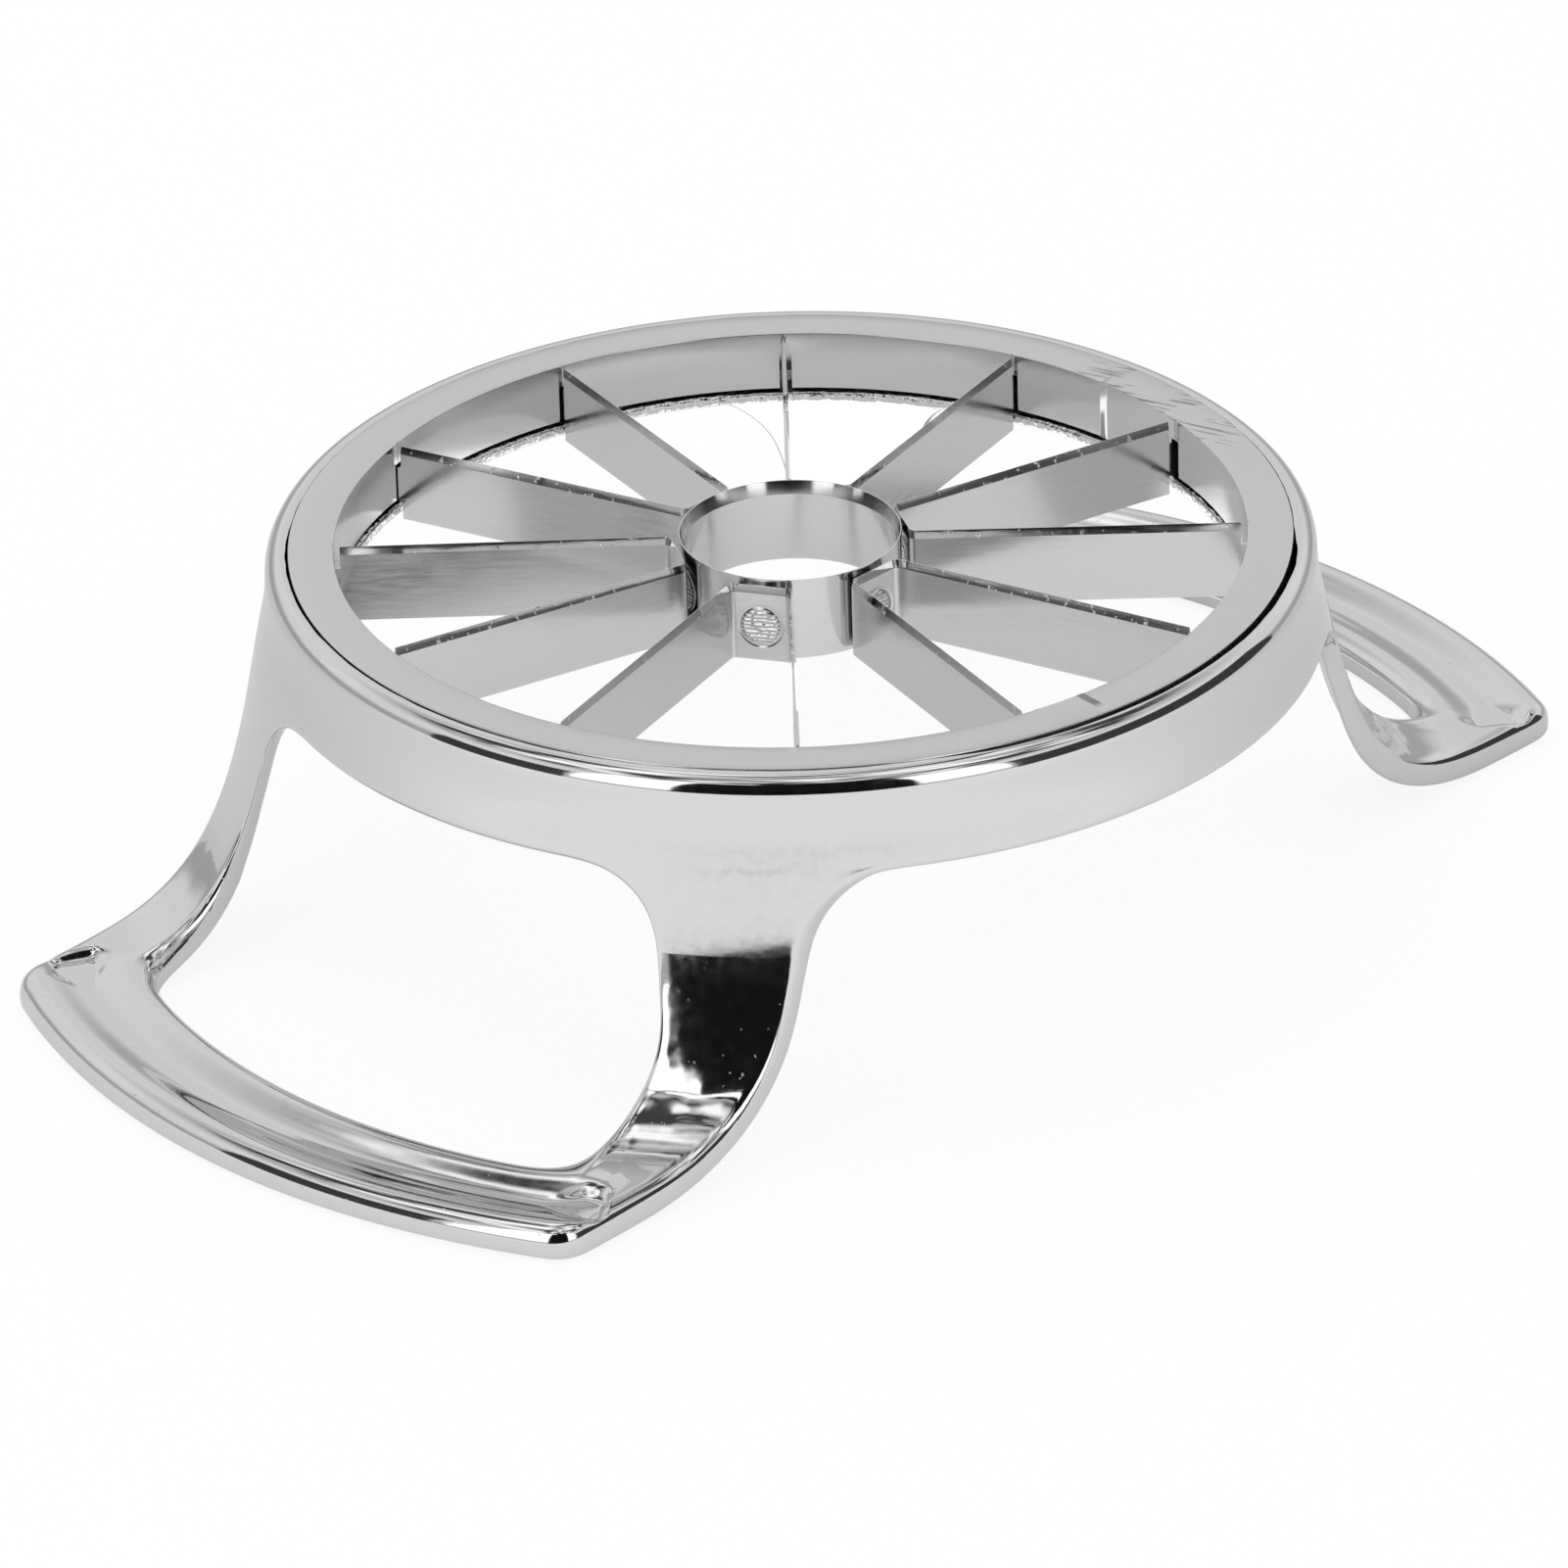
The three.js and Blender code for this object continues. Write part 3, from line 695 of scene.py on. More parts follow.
def flat_strip():
    """The strip before it is folded: X along it, Y through the sheet, Z up, with its tabs."""
    mesh = bmesh.new()
    middle = Vector((0, 0, (BLADE_TOP + BLADE_FOOT) / 2)) * MM
    sides = Vector((2 * strip_half, STRIP_THICKNESS, BLADE_TOP - BLADE_FOOT, 1 / MM)) * MM
    bar = Matrix.Translation(middle) @ Matrix.Diagonal(sides)
    bmesh.ops.create_cube(mesh, size=1, matrix=bar)
    cuts = [web_half + bend_length * k / BEND_CUTS for k in range(BEND_CUTS + 1)]
    cuts += [web_half / 2, web_half + bend_length + FIRST_STEP]
    planes = [((side * x * MM, 0, 0), (1, 0, 0)) for x in cuts for side in (-1, 1)]
    planes += [((0, 0, 0), (1, 0, 0))]
    planes += [((0, 0, z * MM), (0, 0, 1)) for z in (TAB_LOW, TAB_HIGH, GROUND_FROM)]
    for point, normal in planes:
        everything = mesh.verts[:] + mesh.edges[:] + mesh.faces[:]
        bmesh.ops.bisect_plane(mesh, geom=everything, plane_co=point, plane_no=normal, dist=1e-7)
    for vert in mesh.verts:
        if vert.co.z > (BLADE_TOP - TOUCH) * MM:
            vert.co.y *= KEENNESS
    for side in (-1, 1):
        end = [f for f in mesh.faces if f.normal.x * side > 0.9
               and TAB_LOW * MM < f.calc_center_median().z < TAB_HIGH * MM]
        made = bmesh.ops.extrude_face_region(mesh, geom=end)["geom"]
        bmesh.ops.delete(mesh, geom=end, context="FACES")
        tip = [v for v in made if isinstance(v, bmesh.types.BMVert)]
        bmesh.ops.translate(mesh, verts=tip, vec=(side * TAB_LENGTH * MM, 0, 0))
    bmesh.ops.recalc_face_normals(mesh, faces=mesh.faces[:])
    return mesh


print("flat strip:", round(2 * strip_half, 1), "mm long without its tabs, with bends of",
      round(bend_length, 2), "mm")

# %% [markdown]
# Before the fold, the flat coordinates are kept as the UV map. Then every point is carried over
# to its place on the folded strip: the web between the bends lies on the corer, the bends are
# arcs, and the blades run out straight, each at its own small lean. Corer and strips sit slightly
# off the holder's middle, as in the photograph.

# %% Folded strips
LEAN = 1.35  # how far a blade leans, for each degree that its end is off true
INSERT_SHIFT = Vector((0.09, 0.12, 0)) * MM


def fold(point, leans):
    """Carries a point of the flat strip over to the folded one."""
    along, through, side = abs(point.x) / MM, point.y / MM, 1 if point.x > 0 else -1
    if along <= web_half:
        place = Vector((web_x + through, along))
    else:
        turned = min((along - web_half) / bend_length, 1) * BEND_TURN
        outward = Vector((-math.cos(turned), math.sin(turned)))
        place = bend_centre + (BEND_RADIUS - through) * outward
        rest = along - web_half - bend_length
        if rest > 0:
            lean = HALF_ANGLE + math.radians(leans[side > 0] * side)
            place += rest * Vector((math.cos(lean), math.sin(lean)))
    return Vector((place.x * MM, side * place.y * MM, point.z))


strips = []
for k in range(6):
    mesh = flat_strip()
    flat = mesh.loops.layers.uv.new("flat")
    for face in mesh.faces:
        for loop in face.loops:
            loop[flat].uv = (loop.vert.co.x, loop.vert.co.z)
    leans = [off * LEAN for off in HAND_SET[2 * k:2 * k + 2]]
    for vert in mesh.verts:
        vert.co = fold(vert.co, leans)
    web_turn = math.radians(30 * (2 * k + 1)) + INSERT_TURN
    bmesh.ops.rotate(mesh, cent=(0, 0, 0), matrix=Matrix.Rotation(web_turn, 3, "Z"),
                     verts=mesh.verts[:])
    bmesh.ops.recalc_face_normals(mesh, faces=mesh.faces[:])
    strips.append(add_piece(mesh, f"strip_{k + 1}", f"blade_strip_{k + 1}"))
    keep_sharp(strips[-1], 12)
for piece in (corer, *strips):
    piece.data.transform(Matrix.Translation(INSERT_SHIFT))
print(len(strips), "strips folded,", 2 * len(strips), "blades")

# %% [markdown]
# ## Finishes
# All finishes of this object are metals, so their detail sits in roughness and fine relief rather
# than in colour. Colours are written as sRGB hex and turned to linear values, which is what a
# shader expects. Lengths in a pattern are real lengths. A grain too fine for this picture is drawn
# coarser, and its comment says so.

# %% Helpers for materials
NOISE = "ShaderNodeTexNoise"
RANGE = "ShaderNodeMapRange"
MATH = "ShaderNodeMath"
VECTOR_MATH = "ShaderNodeVectorMath"
BUMP = "ShaderNodeBump"
MULTIPLY = {"operation": "MULTIPLY"}


def linear(code):
    """A hex colour as the linear values that a shader takes."""
    values = [int(code[i:i + 2], 16) / 255 for i in (1, 3, 5)]
    return (*[v / 12.92 if v <= 0.04045 else ((v + 0.055) / 1.055) ** 2.4 for v in values], 1)


def add_node(tree, kind, settings=None, values=None, links=None):
    """Adds a node, sets its properties and sockets, and links sockets to other nodes.

    Where a link names a node, the node's first output in use is meant."""
    node = tree.nodes.new(kind)
    for name, value in (settings or {}).items():
        setattr(node, name, value)
    for name, value in (values or {}).items():
        node.inputs[name].default_value = value
    for name, source in (links or {}).items():
        if isinstance(source, bpy.types.Node):
            source = next(socket for socket in source.outputs if socket.enabled)
        tree.links.new(source, node.inputs[name])
    return node


def new_finish(name):
    """An empty material, its node tree and the output that its shader goes to."""
    material = bpy.data.materials.new(name)
    material.use_nodes = True
    tree = material.node_tree
    tree.nodes.clear()
    return material, tree, tree.nodes.new("ShaderNodeOutputMaterial")


def dress(piece, *materials):
    """Gives a piece its materials."""
    piece.data.materials.clear()
    for material in materials:
        piece.data.materials.append(material)
        print(piece.name, "wears", material.name)


print("sRGB #808080 is", round(linear("#808080")[0], 3), "to a shader")

# %% [markdown]
# **Chromed zinc.** The casting is polished by hand and plated with nickel and chromium. The eye
# sees a mirror, but a slightly uneven one: soft waves bend the reflections, and they grow stronger
# down the handles, where the polishing wheel cannot lie flat and small pores of the casting stay
# open. On the grip the wheel ran along it and left long faint marks. All that is relief, and its
# strength is steered by height and by distance from the ring's axis.

# %% Chromed zinc: waves, wheel marks and pores
chrome, tree, output = new_finish("chromed_zinc")
place = add_node(tree, "ShaderNodeTexCoord").outputs["Object"]
apart = add_node(tree, "ShaderNodeSeparateXYZ", links={"Vector": place})
height = apart.outputs["Z"]
waves = add_node(tree, NOISE, None, {"Scale": 1 / (15 * MM), "Detail": 0}, {"Vector": place})
low = add_node(tree, RANGE, None, {"From Min": 22 * MM, "From Max": 9 * MM}, {"Value": height})
off_grip = add_node(tree, RANGE, None, {"From Min": 4.3 * MM, "From Max": 6.5 * MM, "To Min": 0.15},
                    {"Value": height})
ripples = add_node(tree, NOISE, None, {"Scale": 1 / (6 * MM), "Detail": 1.5}, {"Vector": place})
low_ripples = add_node(tree, MATH, MULTIPLY, None, {0: ripples, 1: low})
low_ripples = add_node(tree, MATH, MULTIPLY, None, {0: low_ripples, 1: off_grip})
pores = add_node(tree, NOISE, None, {"Scale": 1 / (0.55 * MM), "Detail": 1}, {"Vector": place})
pore = add_node(tree, RANGE, None, {"From Min": 0.75, "From Max": 0.82}, {"Value": pores})
low_pores = add_node(tree, MATH, MULTIPLY, None, {0: pore, 1: low})

flat_place = add_node(tree, VECTOR_MATH, MULTIPLY, {1: (1, 1, 0)}, {0: place})
radius = add_node(tree, VECTOR_MATH, {"operation": "LENGTH"}, None, {0: flat_place})
angle = add_node(tree, MATH, {"operation": "ARCTAN2"}, None,
                 {0: apart.outputs["Y"], 1: apart.outputs["X"]})
arc = add_node(tree, MATH, MULTIPLY, {1: 6 * MM}, {0: angle})  # short, so marks come out long
along_grip = add_node(tree, "ShaderNodeCombineXYZ", links={"X": radius, "Y": arc})
wheel = add_node(tree, NOISE, None, {"Scale": 1 / (4.5 * MM), "Detail": 1}, {"Vector": along_grip})
on_grip = add_node(tree, RANGE, None, {"From Min": 7 * MM, "From Max": 4.2 * MM}, {"Value": height})
wheel_marks = add_node(tree, MATH, MULTIPLY, None, {0: wheel, 1: on_grip})
print(chrome.name, "has", len(tree.nodes), "nodes for its waves, marks and pores")

# %% [markdown]
# The thin lip inside the ring, under the blades, was never polished, so it keeps the rough skin
# of the casting. Fine marks from the buff blur the mirror a little. They are drawn a millimetre
# wide, because real ones are too fine for this picture.

# %% Chromed zinc: lip, buffing marks and shader
flash = add_node(tree, NOISE, None, {"Scale": 1 / (0.9 * MM), "Detail": 2}, {"Vector": place})
at_lip = add_node(tree, RANGE, None, {"From Min": 50.6 * MM, "From Max": 50.2 * MM},
                  {"Value": radius})
rough_lip = add_node(tree, MATH, MULTIPLY, None, {0: flash, 1: at_lip})
marks = add_node(tree, NOISE, None, {"Scale": 1 / (1.2 * MM), "Detail": 3, "Roughness": 0.6},
                 {"Vector": place})
blur = add_node(tree, RANGE, None,
                {"From Min": 0.35, "From Max": 0.75, "To Min": 0.05, "To Max": 0.1},
                {"Value": marks})
relief = add_node(tree, BUMP, None, {"Distance": 0.012 * MM}, {"Height": waves})
for pattern, depth in ((low_ripples, 0.21), (wheel_marks, 0.06), (low_pores, 0.03),
                       (rough_lip, 0.3), (marks, 0.001)):
    relief = add_node(tree, BUMP, None, {"Distance": depth * MM},
                      {"Height": pattern, "Normal": relief})
shader = add_node(tree, "ShaderNodeBsdfPrincipled", None,
                  {"Base Color": linear("#dadada"), "Metallic": 1},
                  {"Roughness": blur, "Normal": relief})
tree.links.new(shader.outputs["BSDF"], output.inputs["Surface"])
print(chrome.name, "has", len(tree.nodes), "nodes in all")

# %% [markdown]
# ** Painted shade in the seat.** The seat's wall gets a dull dark metal, which paints the shade in the
# narrow gap beside the holder, so the gap shows as a black line, and the plated wall across it
# mirrors that. The faces of the seat were numbered for this second material above.

# %% Painted shade in the seat
painted_shade, tree, output = new_finish("painted_seat_shade")
place = add_node(tree, "ShaderNodeTexCoord").outputs["Object"]
skin = add_node(tree, NOISE, None, {"Scale": 1 / (0.8 * MM), "Detail": 3}, {"Vector": place})
blur = add_node(tree, RANGE, None, {"To Min": 0.45, "To Max": 0.75}, {"Value": skin})
relief = add_node(tree, BUMP, None, {"Distance": 0.05 * MM}, {"Height": skin})
shader = add_node(tree, "ShaderNodeBsdfPrincipled", None,
                  {"Base Color": linear("#2b2b2c"), "Metallic": 1},
                  {"Roughness": blur, "Normal": relief})
tree.links.new(shader.outputs["BSDF"], output.inputs["Surface"])
dress(casting, chrome, painted_shade)

# %% [markdown]
# **Nickelled steel.** The holder is turned and nickel plated. Its face is a calm satin grey, but on
# one side a tool has scratched it. The scratches are the highest parts of a noise that is stretched
# along one direction, so they come out as separate thin strokes. They keep to the face and to one
# place, where they lie in clumps.

# %% Nickelled steel: scratches
LAY = math.radians(-74)  # direction of the scratches, nearly along the ring
STRETCH = 18  # their length over their width
SCRATCH_PLACE = Vector((52.4, -9.2, FACE_HEIGHT)) * MM
SCRATCH_REACH = 14 * MM  # no scratch lies further away, and they are at full depth within half of it

nickel, tree, output = new_finish("nickelled_steel")
place = add_node(tree, "ShaderNodeTexCoord").outputs["Object"]
along = add_node(tree, VECTOR_MATH, {"operation": "DOT_PRODUCT"},
                 {1: (math.cos(LAY) / STRETCH, math.sin(LAY) / STRETCH, 0)}, {0: place})
across_lay = add_node(tree, VECTOR_MATH, {"operation": "DOT_PRODUCT"},
                      {1: (-math.sin(LAY), math.cos(LAY), 0)}, {0: place})
stroke = add_node(tree, "ShaderNodeCombineXYZ", links={"X": along, "Y": across_lay})
lines = add_node(tree, NOISE, None, {"Scale": 1 / (0.55 * MM), "Detail": 1.5}, {"Vector": stroke})
cuts = add_node(tree, RANGE, None, {"From Min": 0.57, "From Max": 0.66}, {"Value": lines})
distance = add_node(tree, VECTOR_MATH, {"operation": "DISTANCE"}, {1: SCRATCH_PLACE}, {0: place})
near = add_node(tree, RANGE, None, {"From Min": SCRATCH_REACH, "From Max": SCRATCH_REACH / 2},
                {"Value": distance})
height = add_node(tree, "ShaderNodeSeparateXYZ", links={"Vector": place}).outputs["Z"]
on_face = add_node(tree, RANGE, None, {"From Min": 41.25 * MM, "From Max": 41.35 * MM},
                   {"Value": height})
clumps = add_node(tree, NOISE, None, {"Scale": 1 / (5 * MM), "Detail": 1}, {"Vector": place})
clump = add_node(tree, RANGE, None, {"From Min": 0.42, "From Max": 0.52}, {"Value": clumps})
patch = add_node(tree, MATH, MULTIPLY, None, {0: near, 1: on_face})
patch = add_node(tree, MATH, MULTIPLY, None, {0: patch, 1: clump})
scratches = add_node(tree, MATH, MULTIPLY, None, {0: cuts, 1: patch})
print("scratches on", holder.name, "within", round(SCRATCH_REACH / MM), "mm of their middle")

# %% [markdown]
# Between the scratches the plating is satin, a little more so in some places than in others. Its
# grain is drawn at 0.6 mm, because the real one is too fine for this picture. A scratch is cut into
# the surface and is duller in colour.

# %% Nickelled steel: shader
grain = add_node(tree, NOISE, None, {"Scale": 1 / (0.6 * MM), "Detail": 3, "Roughness": 0.6},
                 {"Vector": place})
clouds = add_node(tree, NOISE, None, {"Scale": 1 / (12 * MM), "Detail": 1}, {"Vector": place})
blur = add_node(tree, RANGE, None,
                {"From Min": 0.3, "From Max": 0.7, "To Min": 0.16, "To Max": 0.22},
                {"Value": clouds})
relief = add_node(tree, BUMP, None, {"Distance": 0.002 * MM}, {"Height": grain})
relief = add_node(tree, BUMP, {"invert": True}, {"Distance": 0.15 * MM},
                  {"Height": scratches, "Normal": relief})
tone = add_node(tree, "ShaderNodeMix", {"data_type": "RGBA"},
                {"A": linear("#d2d2d2"), "B": linear("#9a9a9a")}, {"Factor": scratches})
shader = add_node(tree, "ShaderNodeBsdfPrincipled", None, {"Metallic": 1},
                  {"Base Color": tone, "Roughness": blur, "Normal": relief})
tree.links.new(shader.outputs["BSDF"], output.inputs["Surface"])
dress(holder, nickel)

# %% [markdown]
# **Rolled stainless steel.** The strips are cold rolled sheet. On each web the electrode that
# welded it to the corer has left a round, waffled print: fine ridges inside a groove. The strips
# carry their flat UV map in metres, so the print stays where it was made before the sheet is bent.

# %% Rolled stainless steel: the weld's print
WELD_HEIGHT = 36.4
WELD_RADIUS = 2.35

blade_steel, tree, output = new_finish("rolled_stainless")
flat_map = add_node(tree, "ShaderNodeUVMap", {"uv_map": "flat"}).outputs["UV"]
from_weld = add_node(tree, VECTOR_MATH, {"operation": "DISTANCE"}, {1: (0, WELD_HEIGHT * MM, 0)},
                     {0: flat_map})
inside = add_node(tree, RANGE, None,
                  {"From Min": 0.95 * WELD_RADIUS * MM, "From Max": 0.8 * WELD_RADIUS * MM},
                  {"Value": from_weld})
waffle = add_node(tree, "ShaderNodeTexWave", {"bands_direction": "Y"},
                  {"Scale": 1 / (1.5 * MM), "Distortion": 2.2, "Detail": 0, "Detail Scale": 1.6},
                  {"Vector": flat_map})
ridges = add_node(tree, MATH, MULTIPLY, None, {0: waffle.outputs["Fac"], 1: inside})
off_rim = add_node(tree, MATH, {"operation": "SUBTRACT"}, {1: WELD_RADIUS * MM}, {0: from_weld})
off_rim = add_node(tree, MATH, {"operation": "ABSOLUTE"}, None, {0: off_rim})
groove = add_node(tree, RANGE, {"interpolation_type": "SMOOTHSTEP"},
                  {"From Min": 0.34 * MM, "From Max": 0}, {"Value": off_rim})
weld = add_node(tree, MATH, {"operation": "SUBTRACT"}, None, {0: ridges, 1: groove})
print("weld print", 2 * WELD_RADIUS, "mm wide on each of", len(strips), "webs")

# %% [markdown]
# The eye sees a blurred mirror with streaks along the rolling direction. The ground edge is
# brighter, because grinding leaves it keener, and it carries small burrs. Streaks are drawn half a
# millimetre wide, coarser than real ones, so that they show.

# %% Rolled stainless steel: streaks, ground edge and shader
rolled = add_node(tree, "ShaderNodeMapping", {"vector_type": "POINT"}, {"Scale": (0.12, 1, 1)},
                  {"Vector": flat_map})
streaks = add_node(tree, NOISE, None, {"Scale": 1 / (0.5 * MM), "Detail": 2, "Roughness": 0.6},
                   {"Vector": rolled})
height = add_node(tree, "ShaderNodeSeparateXYZ", links={"Vector": flat_map}).outputs["Y"]
ground = add_node(tree, RANGE, None,
                  {"From Min": (GROUND_FROM - 0.05) * MM, "From Max": (GROUND_FROM + 0.05) * MM},
                  {"Value": height})
burrs = add_node(tree, NOISE, None, {"Scale": 1 / (0.8 * MM), "Detail": 2}, {"Vector": flat_map})
burr = add_node(tree, RANGE, None, {"From Min": 0.64, "From Max": 0.74}, {"Value": burrs})
edge_burrs = add_node(tree, MATH, MULTIPLY, None, {0: burr, 1: ground})
relief = add_node(tree, BUMP, None, {"Distance": 0.0022 * MM}, {"Height": streaks})
for pattern, depth in ((weld, 0.12), (edge_burrs, 0.06)):
    relief = add_node(tree, BUMP, None, {"Distance": depth * MM},
                      {"Height": pattern, "Normal": relief})
sheet_blur = add_node(tree, RANGE, None,
                      {"From Min": 0.3, "From Max": 0.7, "To Min": 0.15, "To Max": 0.21},
                      {"Value": streaks})
keener = add_node(tree, RANGE, None, {"To Min": 1, "To Max": 0.35}, {"Value": ground})
blur = add_node(tree, MATH, MULTIPLY, None, {0: sheet_blur, 1: keener})
shader = add_node(tree, "ShaderNodeBsdfPrincipled", None,
                  {"Base Color": linear("#d9d9d9"), "Metallic": 1},
                  {"Roughness": blur, "Normal": relief})
tree.links.new(shader.outputs["BSDF"], output.inputs["Surface"])
for strip in strips:
    dress(strip, blade_steel)

# %% [markdown]
# **Polished stainless steel.** The corer is cut from drawn tube and polished. The eye sees a
# brighter mirror than on the strips, with broad soft lines up and down the tube, where it was drawn
# through its die. They are drawn 3 mm wide, as soft as they look in the photograph.

# %% Polished stainless steel of the corer
tube_steel, tree, output = new_finish("polished_stainless")
place = add_node(tree, "ShaderNodeTexCoord").outputs["Object"]
upright = add_node(tree, "ShaderNodeMapping", {"vector_type": "POINT"}, {"Scale": (1, 1, 0.15)},
                   {"Vector": place})
grain = add_node(tree, NOISE, None, {"Scale": 1 / (3.2 * MM), "Detail": 2, "Roughness": 0.5},
                 {"Vector": upright})
relief = add_node(tree, BUMP, None, {"Distance": 0.012 * MM}, {"Height": grain})
blur = add_node(tree, RANGE, None,
                {"From Min": 0.3, "From Max": 0.7, "To Min": 0.08, "To Max": 0.16},
                {"Value": grain})
shader = add_node(tree, "ShaderNodeBsdfPrincipled", None,
                  {"Base Color": linear("#dbdbdb"), "Metallic": 1},
                  {"Roughness": blur, "Normal": relief})
tree.links.new(shader.outputs["BSDF"], output.inputs["Surface"])
dress(corer, tube_steel)

# %% [markdown]
# ## The studio
# Chrome shows whatever stands round it, so the room is drawn as the slicer mirrors it: light grey
# walls, brightest in a band at the camera's height, and a ceiling with dark and bright spots that
# the bent arms mirror. All that is for reflections only. Any other ray meets plain white, which
# lights the slicer evenly and makes the background.

# %% Room
world = bpy.data.worlds.new("grey_room")
bpy.context.scene.world = world
world.use_nodes = True
tree = world.node_tree
tree.nodes.clear()
path = add_node(tree, "ShaderNodeLightPath")
heading = add_node(tree, "ShaderNodeTexCoord").outputs["Generated"]
rise = add_node(tree, "ShaderNodeSeparateXYZ", links={"Vector": heading}).outputs["Z"]
walls = add_node(tree, NOISE, None, {"Scale": 2.2, "Detail": 1}, {"Vector": heading})
wall_tone = add_node(tree, RANGE, None,
                     {"From Min": 0.35, "From Max": 0.65, "To Min": 0.81, "To Max": 0.9},
                     {"Value": walls})
off_band = add_node(tree, MATH, {"operation": "SUBTRACT"}, {1: math.sin(CAMERA_RISE)}, {0: rise})
off_band = add_node(tree, MATH, {"operation": "ABSOLUTE"}, None, {0: off_band})
band = add_node(tree, RANGE, {"interpolation_type": "SMOOTHSTEP"},
                {"From Min": 0.12, "From Max": 0.34, "To Min": 1, "To Max": 0.55},
                {"Value": off_band})
banded_tone = add_node(tree, MATH, MULTIPLY, None, {0: wall_tone, 1: band})
spots = add_node(tree, NOISE, None, {"Scale": 5.5, "Detail": 1.5}, {"Vector": heading})
ceiling_tone = add_node(tree, RANGE, None,
                        {"From Min": 0.4, "From Max": 0.64, "To Min": 0.06, "To Max": 1.4},
                        {"Value": spots})
ceiling = add_node(tree, RANGE, None, {"From Min": 0.72, "From Max": 0.8}, {"Value": rise})
room_tone = add_node(tree, "ShaderNodeMix", {"data_type": "RGBA"}, None,
                     {"Factor": ceiling, "A": banded_tone, "B": ceiling_tone})
mirrored = add_node(tree, "ShaderNodeMix", {"data_type": "RGBA"}, {"A": (1, 1, 1, 1)},
                    {"Factor": path.outputs["Is Glossy Ray"], "B": room_tone})
shell = add_node(tree, "ShaderNodeBackground", None, None, {"Color": mirrored})
add_node(tree, "ShaderNodeOutputWorld", None, None, {"Surface": shell})
print("room:", len(tree.nodes), "nodes, its band at a rise of", round(math.degrees(CAMERA_RISE), 1))

# %% [markdown]
# The table is matt white and glows besides, so that it stays white in the picture and still takes
# the slicer's soft shadow. In reflections the glow grows towards the camera, which gives the
# undersides and blades their run from grey to white.

# %% Table
TABLE_RADIUS = 0.62  # in metres


def stage_piece(mesh, name, material):
    """Turns a bmesh into a thing of the studio, which isn't part of the slicer."""
    data = bpy.data.meshes.new(name)
    mesh.to_mesh(data)
    mesh.free()
    data.materials.append(material)
    piece = bpy.data.objects.new(name, data)
    bpy.context.scene.collection.objects.link(piece)
    return piece


table_white, tree, output = new_finish("white_table")
path = add_node(tree, "ShaderNodeLightPath")
matt = add_node(tree, "ShaderNodeBsdfDiffuse", values={"Color": linear("#f0f0f0")})
place = add_node(tree, "ShaderNodeTexCoord").outputs["Object"]
toward = add_node(tree, VECTOR_MATH, {"operation": "DOT_PRODUCT"}, {1: (back.x, back.y, 0)},
                  {0: place})
falloff = add_node(tree, RANGE, None,
                   {"From Min": -0.06, "From Max": 0.12, "To Min": 0.45, "To Max": 0.97},
                   {"Value": toward})
strength = add_node(tree, MATH, {"operation": "MAXIMUM"}, None,
                    {0: falloff, 1: path.outputs["Is Camera Ray"]})
glow = add_node(tree, "ShaderNodeEmission", None, {"Color": (1, 1, 1, 1)}, {"Strength": strength})
glow_share = add_node(tree, RANGE, None, {"To Min": 0.55, "To Max": 0.88},
                      {"Value": path.outputs["Is Camera Ray"]})
surface = add_node(tree, "ShaderNodeMixShader", None, None, {0: glow_share, 1: matt, 2: glow})
tree.links.new(surface.outputs["Shader"], output.inputs["Surface"])
mesh = bmesh.new()
bmesh.ops.create_circle(mesh, cap_ends=True, segments=96, radius=TABLE_RADIUS)
table = stage_piece(mesh, "table", table_white)
print(table.name, round(table.dimensions.x, 2), "m wide")

# %% [markdown]
# Chrome alone would vanish in a white room, so photographers stand black and white paper round
# it, out of the picture: the handle's arm mirrors the black sheet as a patch, and the rim mirrors
# all of them as a broken line. The sheets are seen only in reflections. They are spun as parts of a
# wall round the slicer, so that their edges stand upright in every reflection.

# %% Sheets of paper round the slicer
SHEETS = [  # azimuths from the camera's side and rises in degrees, brightness, distance in metres
    ("black_sheet", (-24.8, 24), (-12, 57), 0.006, 0.66),
    ("white_sheet_left", (-46, -24.8), (4, 50), 1.6, 0.66),
    ("white_sheet_right", (24, 43), (4, 46), 1.6, 0.66),
    ("white_sheet_above", (-34, -10), (51, 54), 1.5, 0.6),
    ("dark_side_right", (43, 112), (-4, 30), 0.05, 0.42),
    ("dark_side_left", (-76, -46), (-4, 26), 0.05, 0.42),
]


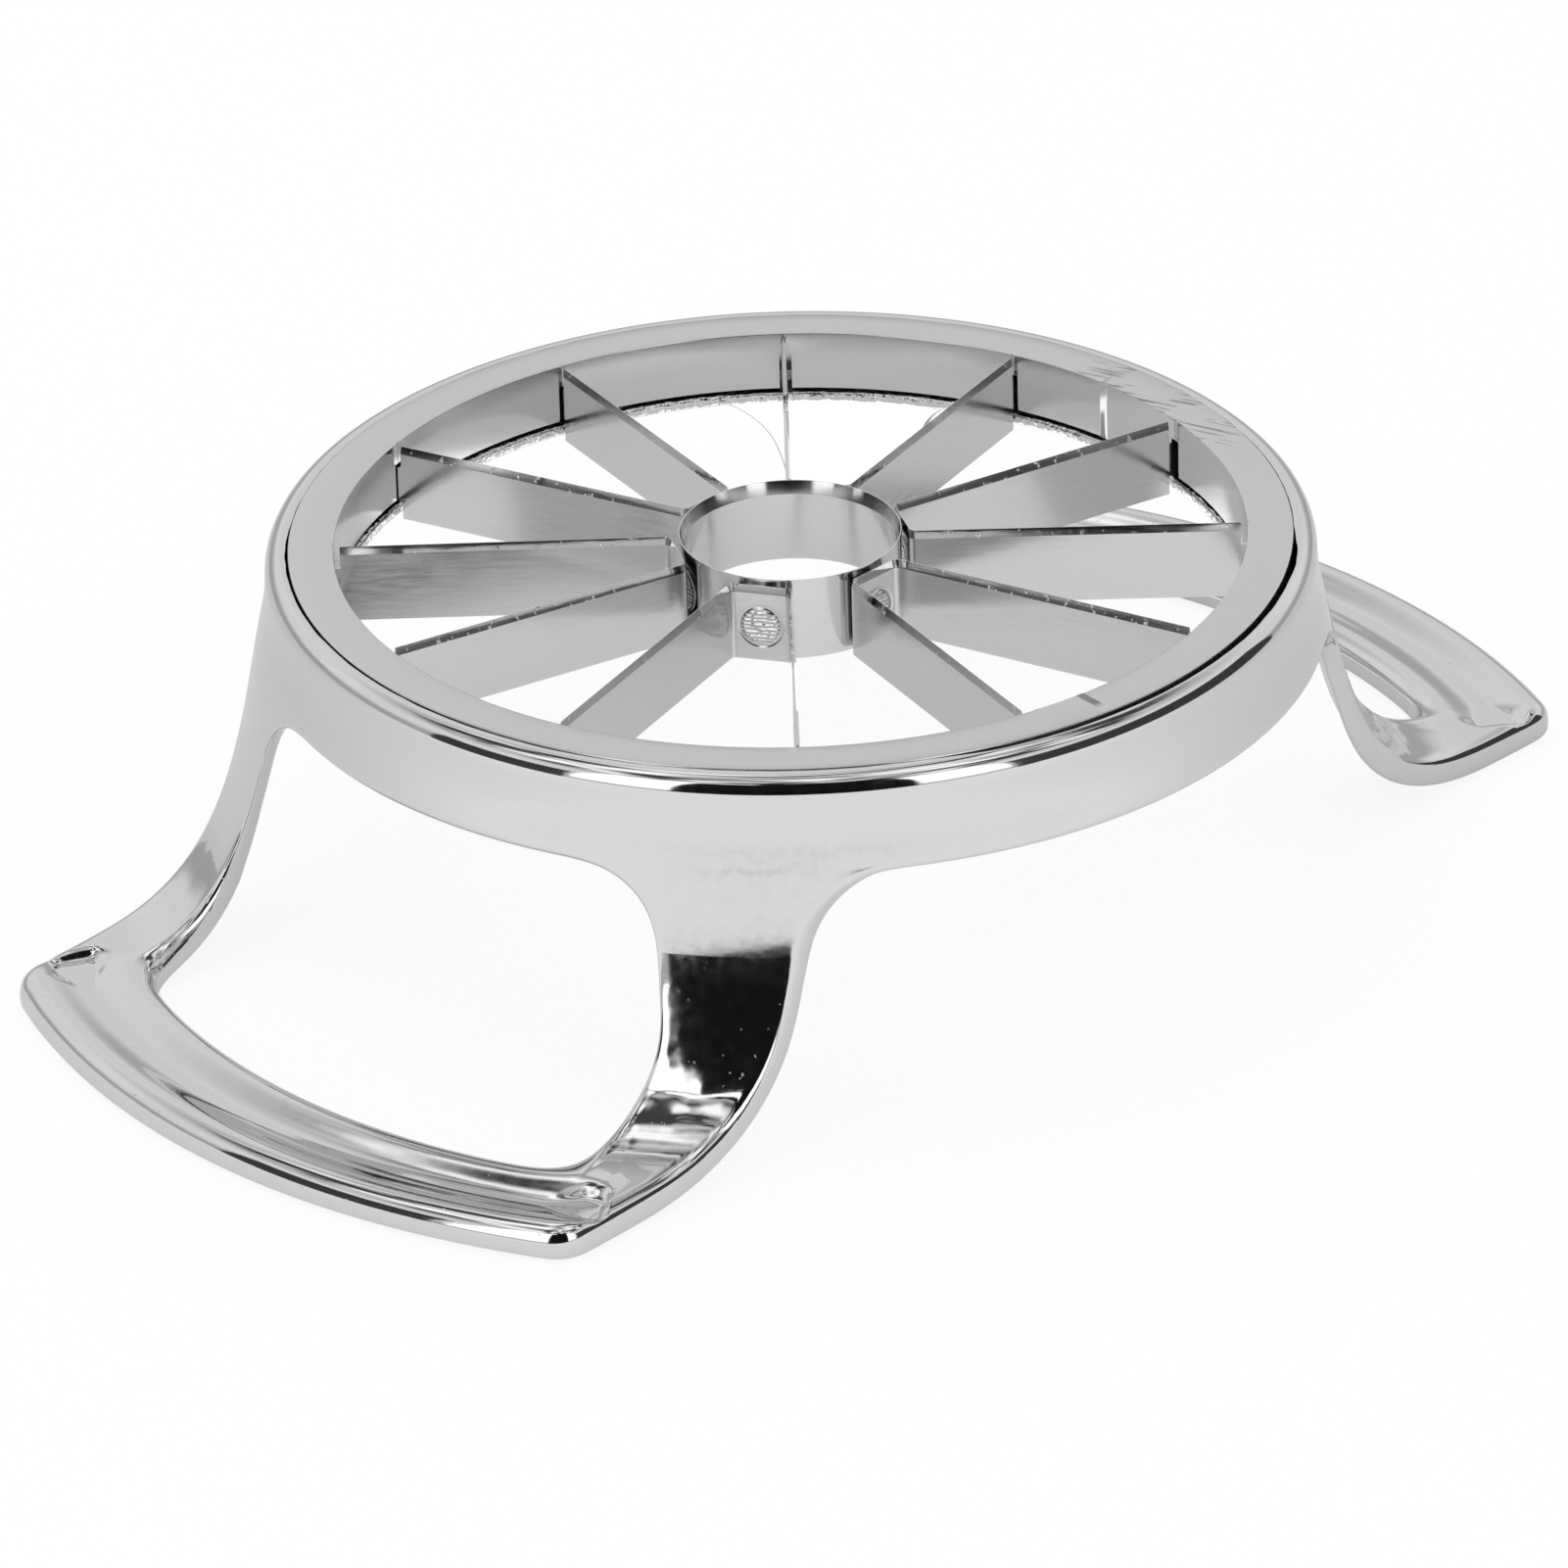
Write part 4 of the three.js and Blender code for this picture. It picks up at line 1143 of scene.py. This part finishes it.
def mirrored_sheet(mesh, name, paper, brightness):
    """Turns a bmesh into a sheet of lit paper that only reflections see."""
    material, tree, output = new_finish(paper)
    light = add_node(tree, "ShaderNodeEmission", None,
                     {"Color": (1, 1, 1, 1), "Strength": brightness})
    tree.links.new(light.outputs["Emission"], output.inputs["Surface"])
    piece = stage_piece(mesh, name, material)
    piece.visible_camera = piece.visible_diffuse = False
    piece.visible_shadow = piece.visible_transmission = False


for name, azimuths, rises, brightness, distance in SHEETS:
    heading = math.atan2(back.y, back.x) + math.radians(azimuths[0])
    mesh = bmesh.new()
    foot, top = [mesh.verts.new((distance * math.cos(heading), distance * math.sin(heading),
                                 distance * math.tan(math.radians(rise)))) for rise in rises]
    upright = mesh.edges.new((foot, top))
    bmesh.ops.spin(mesh, geom=[foot, top, upright], cent=(0, 0, 0), axis=(0, 0, 1), dvec=(0, 0, 0),
                   angle=math.radians(azimuths[1] - azimuths[0]), steps=24)
    mirrored_sheet(mesh, name, name + "_paper", brightness)
print(len(SHEETS), "sheets round the slicer")

# %% [markdown]
# The far arm of the far handle shows pure white behind the blades, so a white sheet lies under it,
# a hair above the table, for it to mirror. A wide soft box hangs high up on the left. It is weak and
# kept out of reflections, where it would show as a disc, and it gives the slicer its soft shadow.

# %% Sheet under the far handle, and the lamp
SHEET_PLACE = (0.0465, 0.033, 0.0003)
SHEET_HALF = (0.0245, 0.015, 1, 1)
LAMP_PLACE = Vector((-0.2, 0.15, 1.1))

mesh = bmesh.new()
bmesh.ops.create_grid(mesh, size=1,
                      matrix=Matrix.Translation(SHEET_PLACE) @ Matrix.Diagonal(SHEET_HALF))
mirrored_sheet(mesh, "white_sheet_below", "floor_paper", 1.5)

lamp_data = bpy.data.lights.new("soft_box", "AREA")
lamp_data.shape = "DISK"
lamp_data.size = 0.7
lamp_data.energy = 2
lamp = bpy.data.objects.new("soft_box", lamp_data)
lamp.location = LAMP_PLACE
lamp.rotation_euler = LAMP_PLACE.to_track_quat("Z", "Y").to_euler()
lamp.visible_glossy = False
bpy.context.scene.collection.objects.link(lamp)
bpy.context.scene.view_settings.view_transform = "Standard"
print("lamp", round(LAMP_PLACE.length, 2), "m away, with", lamp_data.energy, "W")
